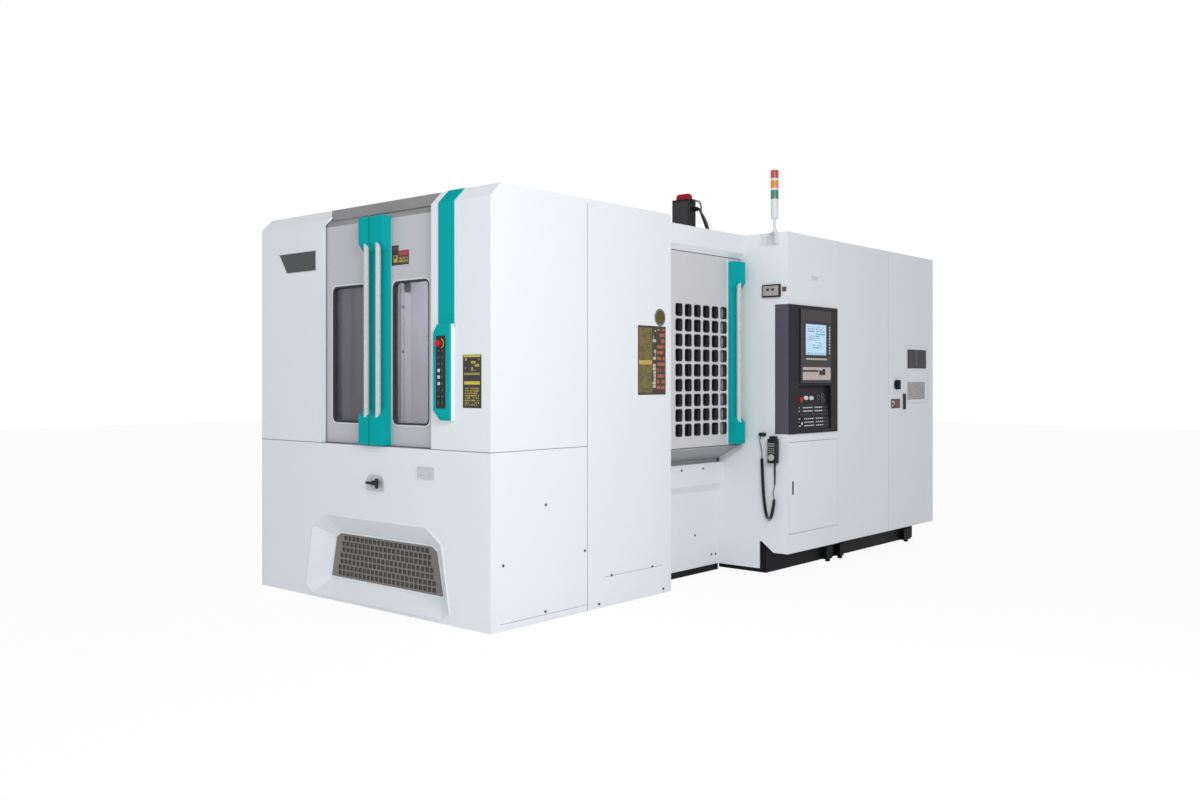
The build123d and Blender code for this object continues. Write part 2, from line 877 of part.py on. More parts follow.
with BuildPart() as console_fascia:
    along_x(
        [
            (fascia_front, cabinet_foot),
            (fascia_end, cabinet_foot),
            (fascia_end, body_height - 2.0),
            (fascia_front, body_height - 2.0),
            (fascia_front, housing_top),
            (housing_end, housing_top),
            (housing_end, housing_foot),
            (fascia_front, housing_foot),
        ],
        (housing_back, door_face),
    )
    slab(
        (console_pocket, door_face),
        (console_door_front - door_seam, console_door_back + door_seam),
        (console_door_foot - door_seam, console_door_top + door_seam),
        Mode.SUBTRACT,
    )
    slab(
        (housing_back, door_face),
        (console_door_front + console_rim, console_door_back - console_rim),
        (console_door_foot + console_rim, console_door_top - console_rim),
        Mode.SUBTRACT,
    )
write(console_fascia, "console_fascia")


# Cabinet doors: folded sheet, hinged at their rear edge
def cabinet_door(y, z, thickness):
    """One hinged door leaf, open towards the cabinet."""
    folded_panel((door_face - thickness, door_face), y, z, (-1, 0, 0))


leaf_thickness = door_face - cabinet_rim - door_gap
tall_door_z = (cabinet_foot + door_seam, body_height - door_seam)

with BuildPart() as console_door:
    cabinet_door(
        (console_door_front, console_door_back), (console_door_foot, console_door_top), console_door_thickness
    )
    pull_y = console_door_front + 58.0
    pull_z = middle((console_door_foot, console_door_top))
    slab(
        (door_face - 15.0, door_face - sheet),
        (pull_y - 20.0, pull_y + 20.0),
        (pull_z - 62.0, pull_z + 62.0),
    )
    slab(
        (door_face - 10.0, door_face),
        (pull_y - 12.0, pull_y + 12.0),
        (pull_z - 50.0, pull_z + 50.0),
        Mode.SUBTRACT,
    )
    slab((door_face - 10.0, door_face - 2.0), (pull_y - 9.0, pull_y + 9.0), (pull_z - 47.0, pull_z + 35.0))
write(console_door, "console_door")

with BuildPart() as service_door:
    cabinet_door((console_back, service_back - door_seam), tall_door_z, leaf_thickness)
write(service_door, "service_door")

with BuildPart() as power_door:
    cabinet_door((service_back + door_seam, back), tall_door_z, leaf_thickness)
    slab(
        (door_face, door_face + 6.0),
        (breaker_y - 85.0, breaker_y + 85.0),
        (breaker_z - 72.0, breaker_z + 72.0),
    )
write(power_door, "power_door")

# Breaker handle and latch of the power cabinet
breaker_seat = door_face + 6.0 + touch_gap

with BuildPart() as breaker_handle:
    disc_x(breaker_y, breaker_z, 42.0, (breaker_seat, breaker_seat + 14.0))
    slab(
        (breaker_seat + 14.0, door_face + knob_reach),
        (breaker_y - 11.0, breaker_y + 11.0),
        (breaker_z - 40.0, breaker_z + 40.0),
    )
write(breaker_handle, "breaker_handle")

with BuildPart() as power_door_latch:
    disc_x(latch_y, latch_z + 45.0, 15.0, (door_face + touch_gap, door_face + 16.0))
    slab(
        (door_face + 6.0, door_face + 18.0),
        (latch_y - 14.0, latch_y + 14.0),
        (latch_z - 75.0, latch_z + 60.0),
    )
    fillet(power_door_latch.edges().filter_by(Axis.X).group_by(Axis.Z)[0], radius=8.0)
write(power_door_latch, "power_door_latch")

# Operator housing: black box that wraps the corner of the column, with bezel and sloped desk
with BuildPart() as operator_housing:
    slab((housing_back, housing_face), (step_face, housing_end), (housing_foot, housing_top))
    chamfer(operator_housing.edges().filter_by(Axis.Z).group_by(Axis.X)[-1], length=8.0)
    slab((housing_face, housing_face + bezel_raise), (bezel_front, bezel_end), (bezel_foot, bezel_top))
    slab(
        (housing_face, housing_face + bezel_raise),
        (screen_front - 1.0, screen_end + 1.0),
        (screen_foot - 1.0, screen_top + 1.0),
        Mode.SUBTRACT,
    )
    along_y(
        [
            (housing_face - desk_depth_top, desk_top),
            (housing_face, desk_top),
            (housing_face, desk_foot),
            (housing_face - desk_depth_foot, desk_foot),
        ],
        (desk_front, desk_end),
        Mode.SUBTRACT,
    )
    desk_lean = (desk_depth_top - desk_depth_foot) / (desk_top - desk_foot)
    stop_seat = housing_face - desk_depth_foot - desk_lean * (panel_stop_z - desk_foot)
    knob_seat = housing_face - desk_depth_foot - desk_lean * (override_z - desk_foot)
    disc_x(
        panel_stop_y,
        panel_stop_z,
        stop_stem_radius + running_gap,
        (stop_seat - 2 * stop_travel, stop_seat + 4.0),
        Mode.SUBTRACT,
    )
write(operator_housing, "operator_housing")

with BuildPart() as screen:
    slab(
        (housing_face, housing_face + screen_thickness),
        (screen_front, screen_end),
        (screen_foot, screen_top),
    )
write(screen, "screen")

# Controls of the operator's panel
with BuildPart() as panel_stop_button:
    stop_head_x = (stop_seat + stop_lift + 3.0, stop_seat + stop_lift + 3.0 + stop_head_length)
    disc_x(panel_stop_y, panel_stop_z, stop_head_radius, stop_head_x)
    fillet(panel_stop_button.edges().group_by(Axis.X)[-1], radius=stop_head_length / 2)
    disc_x(panel_stop_y, panel_stop_z, stop_stem_radius, (stop_seat - stop_travel + 1.0, stop_head_x[0]))
write(panel_stop_button, "panel_stop_button")

with BuildPart() as override_knob:
    disc_x(override_y, override_z, 15.0, (knob_seat + 2.0, knob_seat + 18.0))
    chamfer(override_knob.edges().group_by(Axis.X)[-1], length=2.0)
write(override_knob, "override_knob")

# Tower light: pole, body, core and the clear rings between the lenses
lens_levels = []
lens_foot = light_body_foot + light_body_length
for lens_length in lens_lengths:
    lens_levels.append((lens_foot, lens_foot + lens_length))
    lens_foot += lens_length + lens_gap

with BuildPart() as stack_light_stand:
    slab(bracket_x, (step_face - bracket_sheet, step_face), bracket_z)
    arm_y = (light_y - 22.0, step_face)
    slab((light_x - 20.0, bracket_x[1]), arm_y, (bracket_z[1] - bracket_sheet, bracket_z[1]))
    slab((bracket_x[1] - bracket_sheet, bracket_x[1]), arm_y, bracket_z)
    slab((light_x - 52.0, light_x - 52.0 + bracket_sheet), (step_face - 40.0, step_face), bracket_z)
    disc_z(light_x, light_y, light_pole_radius + 7.0, (bracket_z[1], bracket_z[1] + 16.0))
    disc_z(light_x, light_y, light_pole_radius, (bracket_z[1] + 16.0, light_body_foot))
    disc_z(light_x, light_y, light_radius - 2.0, (light_body_foot, lens_levels[0][0]))
    disc_z(light_x, light_y, light_core_radius, (lens_levels[0][0], lens_levels[-1][0]))
    for lower, upper in zip(lens_levels[:-1], lens_levels[1:]):
        disc_z(light_x, light_y, light_radius - 2.0, (lower[1], upper[0]))
write(stack_light_stand, "stack_light_stand")

with BuildPart() as stack_lenses:
    for lens_z in lens_levels:
        disc_z(light_x, light_y, light_radius, lens_z)
    disc_z(
        light_x,
        light_y,
        light_core_radius + 0.5,
        (lens_levels[0][0], lens_levels[-2][1]),
        Mode.SUBTRACT,
    )
    fillet(stack_lenses.edges().group_by(Axis.Z)[-1], radius=6.0)
write(stack_lenses, "stack_lenses")

# Fittings of the operator's column: hour meter, cable gland and the handset's holder
gland_x = right + 150.0
gland_z = 1050.0
meter_z = (body_height - 483.0, body_height - 389.0)

with BuildPart() as console_fittings:
    slab((right + 160.0, right + 311.0), (step_face - 20.0, step_face), meter_z)
    slab((gland_x - 9.0, gland_x + 34.0), (cord_y - 9.0, step_face), (gland_z, gland_z + 26.0))
    slab(
        (handset_left + 12.0, handset_right - 12.0),
        (handset_back, step_face),
        (handset_foot + 40.0, handset_top - 20.0),
    )
write(console_fittings, "console_fittings")

# Handset cord: (x from the enclosure's right side, z) points chosen by hand
top_lead_route = [
    (150.0, 1050.0),
    (150.0, 1038.0),
    (144.0, 1020.0),
    (147.0, 998.0),
    (156.0, 973.0),
    (163.0, 946.0),
    (166.0, 921.0),
    (166.0, 897.0),
]
coil_route = [
    (163.0, 897.0),
    (163.0, 870.0),
    (166.0, 815.0),
    (170.0, 730.0),
    (175.0, 645.0),
    (181.0, 580.0),
    (190.0, 523.0),
    (199.0, 470.0),
    (213.0, 434.0),
    (237.0, 434.0),
    (251.0, 470.0),
    (262.0, 523.0),
    (270.0, 572.0),
    (270.0, 598.0),
]
lower_lead_route = [
    (264.0, 598.0),
    (264.0, 611.0),
    (261.0, 629.0),
    (264.0, 650.0),
    (271.0, 668.0),
    (276.0, 681.0),
    (276.0, 693.0),
]
# Motor cables: (x from the enclosure's right side, height over the rear roof) points chosen by hand
signal_route = [
    (-925.0, 437.0),
    (-890.0, 437.0),
    (-858.0, 413.0),
    (-850.0, 375.0),
    (-857.0, 340.0),
    (-828.0, 303.0),
    (-797.0, 253.0),
    (-779.0, 205.0),
    (-765.0, 155.0),
    (-756.0, 93.0),
    (-756.0, 40.0),
]
power_route = [
    (-925.0, 375.0),
    (-903.0, 375.0),
    (-886.0, 347.0),
    (-868.0, 301.0),
    (-840.0, 237.0),
    (-817.0, 180.0),
    (-808.0, 125.0),
    (-805.0, 80.0),
    (-805.0, 40.0),
]
signal_y = entry_y - 22.0
power_y = entry_y + 22.0
signal_radius = 7.0
power_radius = 11.0


# Handset: body with rounded edges, a raised head, and the long strain relief under it
lead_end_x = right + lower_lead_route[-1][0]

with BuildPart() as handset:
    slab((handset_left, handset_right), (handset_front, handset_back), (handset_foot, handset_top))
    fillet(handset.edges().filter_by(Axis.Z), radius=8.0)
    slab(
        (handset_left + 16.0, handset_right - 14.0),
        (handset_front + 6.0, handset_back - 4.0),
        (handset_top, handset_top + 20.0),
    )
    with Locations((lead_end_x, cord_y, handset_foot - relief_length / 2)):
        Cone(lead_radius + 1.5, 8.0, relief_length)
write(handset, "handset")

with BuildPart() as handset_dial:
    disc_y(dial_x, dial_z, dial_radius, (handset_front - 16.0, handset_front - touch_gap))
    chamfer(handset_dial.edges().group_by(Axis.Y)[0], length=3.0)
    disc_y(dial_x, dial_z + 18.0, 6.0, (handset_front - 24.0, handset_front - 15.0))
write(handset_dial, "handset_dial")


def corner_radii(points):
    """The largest arc that the two runs at each inner point allow."""
    radii = []
    for before, here, after in zip(points[:-2], points[1:-1], points[2:]):
        first = here - before
        second = after - here
        turn = first.get_angle(second)
        shorter = min(first.length, second.length)
        radii.append(0.45 * shorter / tan(radians(turn) / 2))
    return radii


def cord_tube(route, depth, level, radius):
    """A plain round tube along straight runs joined by tangent arcs, its heights taken from a level."""
    points = [Vector(right + x, depth, level + z) for x, z in route]
    with BuildPart(mode=Mode.PRIVATE) as tube:
        with BuildLine() as path:
            FilletPolyline(*points, radius=corner_radii(points))
        with BuildSketch(Plane(origin=points[0], z_dir=points[1] - points[0])):
            Circle(radius)
        sweep(path=path.wires()[0])
    return tube.part


with BuildPart() as cord_leads:
    add(cord_tube(top_lead_route, cord_y, 0.0, lead_radius))
    add(cord_tube(lower_lead_route, cord_y, 0.0, lead_radius))
write(cord_leads, "cord_leads")

with BuildPart() as cord_coil:
    add(cord_tube(coil_route, cord_y, 0.0, coil_radius))
write(cord_coil, "cord_coil")

with BuildPart() as motor_cables:
    add(cord_tube(signal_route, signal_y, body_height, signal_radius))
    add(cord_tube(power_route, power_y, body_height, power_radius))
write(motor_cables, "motor_cables")

# Axis motor on the column, standing through the roof
with BuildPart() as axis_motor:
    motor_x_span = (motor_x - motor_half, motor_x + motor_half)
    motor_y_span = (motor_y - motor_half_depth, motor_y + motor_half_depth)
    slab(motor_x_span, motor_y_span, (column_top + panel, motor_top))
    chamfer(axis_motor.edges().filter_by(Axis.Z), length=8.0)
    slab((motor_x - 72.0, motor_x + 78.0), (motor_y - 42.0, motor_y + 42.0), (motor_top, motor_cap_top))
    fillet(axis_motor.edges().filter_by(Axis.Z).group_by(SortBy.LENGTH)[0], radius=40.0)
    fillet(axis_motor.edges().group_by(Axis.Z)[-1], radius=30.0)
    for route, cable_y, half in ((signal_route, signal_y, 15.0), (power_route, power_y, 18.0)):
        slab(
            (motor_x + motor_half, right + route[0][0]),
            (cable_y - half, cable_y + half),
            (body_height + route[0][1] - half, body_height + route[0][1] + half),
        )
write(axis_motor, "axis_motor")


# Front doors
def door_profile():
    """The (y, z) outline of a front door leaf, whose top slopes back under the roof."""
    face = front + door_inset
    rear = face + door_thickness
    slope = crown_drop / crown_depth
    slope_y = face + crown_depth
    slope_z = door_crown + crown_drop
    fold = door_thickness * 0.7071
    rear_bend = door_crown - fold + (rear - face - fold) * slope
    return [
        (face, door_foot),
        (face, door_crown),
        (slope_y, slope_z),
        (slope_y + fold, slope_z - fold),
        (rear, rear_bend),
        (rear, door_foot),
    ]


def front_leaf(x, window_x):
    """A front door leaf with its window opening."""
    along_x(door_profile(), x)
    with BuildSketch(Plane.XZ.offset(-(front + door_inset))) as opening:
        with Locations((window_x, middle((window_foot, window_top)))):
            RectangleRounded(window_width, window_top - window_foot, window_corner)
    extrude(opening.sketch, amount=-door_thickness, mode=Mode.SUBTRACT)


def front_pane(window_x):
    """The pane on the back of a front door leaf."""
    with BuildSketch(Plane.XZ.offset(-(front + door_inset + door_thickness))) as pane:
        with Locations((window_x, middle((window_foot, window_top)))):
            RectangleRounded(
                window_width + 2 * pane_lap, window_top - window_foot + 2 * pane_lap, window_corner
            )
    extrude(pane.sketch, amount=-pane_thickness)


def scoop_profile(face, reach, spans):
    """The outline of a handle strip in (reach, z): a bar with a scooped middle."""
    foot, scoop_low, scoop_high, top = spans
    sunk = face + (reach - face) * (1 - scoop_depth / abs(reach - face))
    return [
        (face, foot),
        (reach, foot),
        (reach, scoop_low),
        (sunk, scoop_low + scoop_slope),
        (sunk, scoop_high - scoop_slope),
        (reach, scoop_high),
        (reach, top),
        (face, top),
    ]


front_grip_spans = (door_foot, scoop_foot, scoop_top, grip_top)
side_grip_spans = (side_grip_foot, side_scoop_foot, side_scoop_top, side_grip_top)


def front_handle(x):
    """The coloured strip of a front door, and the grab bar across its scoop."""
    face = front + door_inset
    reach = face - grip_reach
    profile = scoop_profile(face, reach, front_grip_spans)
    bar_y = reach + bar_radius + 1.0
    with BuildPart(mode=Mode.PRIVATE) as strip:
        along_x(profile, x)
    with BuildPart(mode=Mode.PRIVATE) as bar:
        disc_z(middle(x), bar_y, bar_radius, (scoop_foot, scoop_top))
        add(strip.part, mode=Mode.SUBTRACT)
    return strip.part, bar.part


with BuildPart() as left_door_leaf:
    front_leaf((opening_left - left_door_overlap, machine_x - touch_gap), left_window_x)
write(left_door_leaf, "left_door_leaf")

with BuildPart() as right_door_leaf:
    front_leaf((machine_x + touch_gap, opening_right + right_door_overlap), right_window_x)
write(right_door_leaf, "right_door_leaf")

with BuildPart() as left_door_window:
    front_pane(left_window_x)
write(left_door_window, "left_door_window")

with BuildPart() as right_door_window:
    front_pane(right_window_x)
write(right_door_window, "right_door_window")

left_strip, left_bar = front_handle((machine_x - grip_width, machine_x - touch_gap))
right_strip, right_bar = front_handle((machine_x + touch_gap, machine_x + grip_width))

with BuildPart() as left_door_handle:
    add(left_strip)
write(left_door_handle, "left_door_handle")

with BuildPart() as left_door_bar:
    add(left_bar)
write(left_door_bar, "left_door_bar")

with BuildPart() as right_door_handle:
    add(right_strip)
write(right_door_handle, "right_door_handle")

with BuildPart() as right_door_bar:
    add(right_bar)
write(right_door_bar, "right_door_bar")

# Side door: a leaf with a grid of small lights, its pane, and its handle strip
side_leaf_x = (side_face - side_door_thickness, side_face)

with BuildPart() as side_door_leaf:
    slab(side_leaf_x, (side_door_front, side_door_back), (rail_top + touch_gap, side_door_top))
    with BuildSketch(Plane.YZ.offset(side_face)) as lights:
        with Locations((light_middle_y, light_middle_z)):
            with GridLocations(light_pitch_y, light_pitch_z, light_columns, light_rows):
                RectangleRounded(light_width, light_height, light_corner)
    extrude(lights.sketch, amount=-side_door_thickness, mode=Mode.SUBTRACT)
write(side_door_leaf, "side_door_leaf")

with BuildPart() as side_door_window:
    pane_half_y = light_pitch_y * light_columns / 2 + pane_lap / 2
    pane_half_z = light_pitch_z * light_rows / 2 + pane_lap / 2
    slab(
        (side_leaf_x[0] - pane_thickness, side_leaf_x[0]),
        (light_middle_y - pane_half_y, light_middle_y + pane_half_y),
        (light_middle_z - pane_half_z, light_middle_z + pane_half_z),
    )
write(side_door_window, "side_door_window")

with BuildPart() as side_door_handle:
    side_reach = side_face + grip_reach
    side_profile = scoop_profile(side_face, side_reach, side_grip_spans)
    along_y(side_profile, (side_grip_front, side_grip_front + grip_width))
write(side_door_handle, "side_door_handle")

with BuildPart() as side_door_bar:
    disc_z(
        side_reach - bar_radius - 1.0,
        side_grip_front + grip_width / 2,
        bar_radius,
        (side_scoop_foot, side_scoop_top),
    )
    add(side_door_handle.part, mode=Mode.SUBTRACT)
write(side_door_bar, "side_door_bar")

# Bulkhead: the fixed frame round the turning wall
bulkhead_y = (changer_y - panel / 2, changer_y + panel / 2)
bulkhead_gap = 30.0
pallet_reach = hypot(pallet_size / 2, pallet_offset + pallet_size / 2)
bulkhead_right = side_leaf_x[0] - pane_thickness - 9.0
bulkhead_foot = 870.0

with BuildPart() as bulkhead:
    slab((left + panel, bulkhead_right), bulkhead_y, (bulkhead_foot, enclosure_height - panel))
    slab(
        (machine_x - pallet_reach - bulkhead_gap, machine_x + pallet_reach + bulkhead_gap),
        bulkhead_y,
        (bulkhead_foot, wall_top + bulkhead_gap),
        Mode.SUBTRACT,
    )
write(bulkhead, "bulkhead")

# Spindle column: a casting with ways, side pockets and the motor's seat on top
flank_foot = 270.0          # column's foot to the middle of the lowest pocket
flank_margin = 820.0
flank_rib = 120.0

with BuildPart() as spindle_column:
    column_x = (machine_x - column_half_width, machine_x + column_half_width)
    flank_pitch = (column_top - column_bed_top - flank_margin) / 2
    slab(column_x, (column_front, column_back), (column_bed_top, column_top))
    chamfer(spindle_column.edges().filter_by(Axis.X).group_by(Axis.Y)[-1].sort_by(Axis.Z)[-1:], length=350.0)
    for side in (-1, 1):
        way_x = machine_x + side * way_spacing
        slab(
            (way_x - way_width / 2, way_x + way_width / 2),
            (column_front - way_height, column_front),
            (column_bed_top + 60.0, column_top - 60.0),
        )
        flank = machine_x + side * (column_half_width - pocket_depth / 2)
        for rib in (0, 1, 2):
            flank_z = column_bed_top + flank_foot + rib * flank_pitch
            with Locations((flank, middle((column_front, column_back)) - 60.0, flank_z)):
                Box(pocket_depth, 520.0, flank_pitch - flank_rib, mode=Mode.SUBTRACT)
    slab(
        (motor_x - motor_half - 20.0, motor_x + motor_half + 20.0),
        (column_front, motor_y + motor_half_depth + 20.0),
        (column_top, column_top + panel),
    )
write(spindle_column, "spindle_column")

# Spindle head on the column ways, and the spindle in it
head_gap = touch_gap
head_front = nose_y + 110.0
head_y = (head_front, column_front - way_height - head_gap)

with BuildPart() as spindle_head:
    slab(
        (machine_x - way_spacing - way_width, machine_x + way_spacing + way_width),
        (column_front - way_height - 60.0, column_front - way_height - head_gap),
        (spindle_z - head_half_height, spindle_z + head_half_height),
    )
    slab(
        (machine_x - head_half_width, machine_x + head_half_width),
        head_y,
        (spindle_z - head_half_height, spindle_z + head_half_height),
    )
    chamfer(spindle_head.edges().filter_by(Axis.Y).group_by(Axis.Z)[-1].sort_by(Axis.X)[1:-1], length=60.0)
    disc_y(machine_x, spindle_z, 150.0, (head_front - 60.0, head_front))
    disc_y(machine_x, spindle_z, 60.0 + running_gap, (head_front - 60.0, head_front + 120.0), Mode.SUBTRACT)
write(spindle_head, "spindle_head")

with BuildPart() as spindle:
    disc_y(machine_x, spindle_z, 60.0, (head_front - 60.0 - touch_gap, head_front + 119.0))
    disc_y(machine_x, spindle_z, 75.0, (nose_y, head_front - 60.0 - touch_gap))
    with Locations(Location((machine_x, nose_y + 40.0, spindle_z), (90, 0, 0))):
        Cone(22.0, 35.0, 80.0, mode=Mode.SUBTRACT)
write(spindle, "spindle")

# Saddle, cross slide and rotary table
saddle_foot = bed_top + way_height + touch_gap
saddle_top = saddle_foot + saddle_height
slide_foot = saddle_top + touch_gap
slide_top = slide_foot + slide_height
table_foot = slide_top + touch_gap
saddle_half = 400.0
slide_half = 300.0

with BuildPart() as z_saddle:
    slab(
        (machine_x - saddle_half, machine_x + saddle_half),
        (table_y - slide_half, table_y + slide_half),
        (saddle_foot, saddle_top),
    )
    for side in (-1, 1):
        keep_x = machine_x + side * (way_spacing - way_width)
        slab(
            (keep_x - 10.0, keep_x + 10.0),
            (table_y - slide_half, table_y + slide_half),
            (bed_top + touch_gap, saddle_foot),
        )
write(z_saddle, "z_saddle")

with BuildPart() as x_slide:
    slab(
        (machine_x - slide_half, machine_x + slide_half),
        (table_y - slide_half + 20.0, table_y + slide_half - 20.0),
        (slide_foot, slide_top),
    )
    chamfer(x_slide.edges().filter_by(Axis.Z), length=40.0)
write(x_slide, "x_slide")

with BuildPart() as rotary_table:
    table_half = pallet_size / 2
    slab(
        (machine_x - table_half, machine_x + table_half),
        (table_y - table_half, table_y + table_half),
        (table_foot, table_top - 20.0),
    )
    chamfer(rotary_table.edges().filter_by(Axis.Z), length=70.0)
    disc_z(machine_x, table_y, table_half - 30.0, (table_top - 20.0, table_top))
write(rotary_table, "rotary_table")

# Pallet changer: forks for two pallets and the turning wall, on a post of the machine bed
fork_top = fork_foot + fork_height
fork_slot = 130.0

with BuildPart() as pallet_changer:
    slab(
        (machine_x - fork_half_width, machine_x + fork_half_width),
        (changer_y - fork_length, changer_y + fork_length),
        (fork_foot, fork_top),
    )
    for side in (-1, 1):
        slot_near = changer_y + side * (hub_radius + 60.0)
        slot_far = changer_y + side * (fork_length + 10.0)
        slab(
            (machine_x - fork_slot, machine_x + fork_slot),
            (min(slot_near, slot_far), max(slot_near, slot_far)),
            (fork_foot, fork_top),
            Mode.SUBTRACT,
        )
    disc_z(machine_x, changer_y, hub_radius, (fork_top, wall_foot))
    slab(
        (machine_x - wall_half_width, machine_x + wall_half_width),
        (changer_y - wall_thickness / 2, changer_y + wall_thickness / 2),
        (wall_foot, wall_top),
    )
write(pallet_changer, "pallet_changer")

# Pallets: tapped plates with an edge locator bar, one on each pair of forks
slot_pitch = 100.0
slot_width = 18.0
slot_depth = 25.0

with BuildPart() as pallets:
    for side in (-1, 1):
        pallet_y = changer_y + side * pallet_offset
        slab(
            (machine_x - pallet_size / 2, machine_x + pallet_size / 2),
            (pallet_y - pallet_size / 2, pallet_y + pallet_size / 2),
            (fork_top, fork_top + pallet_height),
        )
        for index in range(4):
            slot_x = machine_x + (index - 1.5) * slot_pitch
            slab(
                (slot_x - slot_width / 2, slot_x + slot_width / 2),
                (pallet_y - pallet_size / 2, pallet_y + pallet_size / 2),
                (fork_top + pallet_height - slot_depth, fork_top + pallet_height),
                Mode.SUBTRACT,
            )
write(pallets, "pallets")

# Tool magazine: a wheel of tool pots on a stand beside the column
pot_radius = 42.0
wheel_thickness = 60.0

with BuildPart() as tool_magazine:
    wheel_x = (magazine_x - wheel_thickness / 2, magazine_x + wheel_thickness / 2)
    disc_x(magazine_y, magazine_z, magazine_radius - 90.0, wheel_x)
    for index in range(magazine_pots):
        with Locations((magazine_x, magazine_y, magazine_z)):
            with Locations(Location((0, 0, 0), (index * 360.0 / magazine_pots, 0, 0))):
                with Locations((0, 0, magazine_radius - pot_radius - 20.0)):
                    Cylinder(pot_radius, 110.0, rotation=(0, 90, 0))
    disc_x(magazine_y, magazine_z, 45.0, (magazine_x + wheel_thickness / 2 + seam, stand_x[0] - touch_gap))
write(tool_magazine, "tool_magazine")
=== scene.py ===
"""Looks of a horizontal machining centre with a two pallet changer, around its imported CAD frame.

Everything is in metres in the frame's own axes: -Y is the loading front with the two sliding doors,
+X is the side with the operator's panel and the electrical cabinets, and +Z is up.
"""

import json
import logging
from collections.abc import Sequence
from dataclasses import dataclass, field
from enum import Enum
from math import pi, radians

import bpy
import numpy as np
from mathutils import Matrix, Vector

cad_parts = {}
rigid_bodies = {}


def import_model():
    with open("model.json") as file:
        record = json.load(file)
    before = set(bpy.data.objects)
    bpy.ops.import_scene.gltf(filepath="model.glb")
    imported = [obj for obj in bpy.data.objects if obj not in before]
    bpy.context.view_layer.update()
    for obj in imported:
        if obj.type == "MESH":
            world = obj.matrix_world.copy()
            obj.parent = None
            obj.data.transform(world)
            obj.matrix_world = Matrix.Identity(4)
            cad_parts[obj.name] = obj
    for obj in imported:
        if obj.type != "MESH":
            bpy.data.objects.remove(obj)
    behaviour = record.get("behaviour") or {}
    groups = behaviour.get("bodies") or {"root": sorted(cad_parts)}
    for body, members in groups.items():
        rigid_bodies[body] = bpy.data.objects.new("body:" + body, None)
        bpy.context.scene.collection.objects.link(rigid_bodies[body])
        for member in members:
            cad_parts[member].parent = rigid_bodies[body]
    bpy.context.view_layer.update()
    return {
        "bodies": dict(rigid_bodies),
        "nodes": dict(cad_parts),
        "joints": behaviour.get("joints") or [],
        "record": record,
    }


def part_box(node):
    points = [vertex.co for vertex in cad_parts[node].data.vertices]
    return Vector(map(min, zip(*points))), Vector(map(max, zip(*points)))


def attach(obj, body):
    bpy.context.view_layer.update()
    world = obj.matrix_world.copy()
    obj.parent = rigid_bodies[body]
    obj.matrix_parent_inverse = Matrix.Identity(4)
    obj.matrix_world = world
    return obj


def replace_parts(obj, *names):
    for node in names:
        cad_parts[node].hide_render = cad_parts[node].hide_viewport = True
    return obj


log = logging.getLogger("machining_centre")

Colour = tuple[float, float, float]
Span = tuple[float, float]

ROW_SHIFT = 7.31
WHITE = (0.80, 0.835, 0.87)
TEAL = (0.006, 0.40, 0.41)
COAL = (0.020, 0.021, 0.025)


# Shader maths


class Value:
    """A number socket of a node tree, on which arithmetic adds Math nodes."""

    def __init__(self, tree: "Nodes", socket: bpy.types.NodeSocket) -> None:
        """Wrap an output socket of a node tree."""
        self.tree = tree
        self.socket = socket

    def maths(self, operation: str, *others: "Value | float") -> "Value":
        """Add a Math node.

        Args:
            operation: The node's operation, such as ADD.
            others: The second and third operands.

        Returns:
            The node's result.
        """
        inputs = dict(enumerate((self, *others)))
        return self.tree.value("ShaderNodeMath", {"operation": operation}, inputs)

    def __add__(self, other: "Value | float") -> "Value":
        """The sum."""
        return self.maths("ADD", other)

    __radd__ = __add__

    def __sub__(self, other: "Value | float") -> "Value":
        """The difference."""
        return self.maths("SUBTRACT", other)

    def __rsub__(self, other: float) -> "Value":
        """The difference from a plain number."""
        return (self * -1.0).maths("ADD", other)

    def __mul__(self, other: "Value | float") -> "Value":
        """The product."""
        return self.maths("MULTIPLY", other)

    __rmul__ = __mul__

    def __truediv__(self, other: "Value | float") -> "Value":
        """The quotient."""
        return self.maths("DIVIDE", other)

    def __abs__(self) -> "Value":
        """The size without its sign."""
        return self.maths("ABSOLUTE")

    def below(self, limit: "Value | float") -> "Value":
        """1 where the value is under the limit, else 0."""
        return self.maths("LESS_THAN", limit)

    def above(self, limit: "Value | float") -> "Value":
        """1 where the value is over the limit, else 0."""
        return self.maths("GREATER_THAN", limit)

    def within(self, span: Span) -> "Value":
        """1 where the value lies in the span, else 0."""
        return abs(self - sum(span) / 2).below((span[1] - span[0]) / 2)

    def repeated(self, pitch: float) -> "Value":
        """The distance past the last whole pitch, from 0 to 1."""
        return (self / pitch).maths("FRACT")

    def either(self, other: "Value | float") -> "Value":
        """The larger of two masks."""
        return self.maths("MAXIMUM", other)

    def clipped(self) -> "Value":
        """The value held between 0 and 1."""
        return self.maths("MINIMUM", 1.0).maths("MAXIMUM", 0.0)


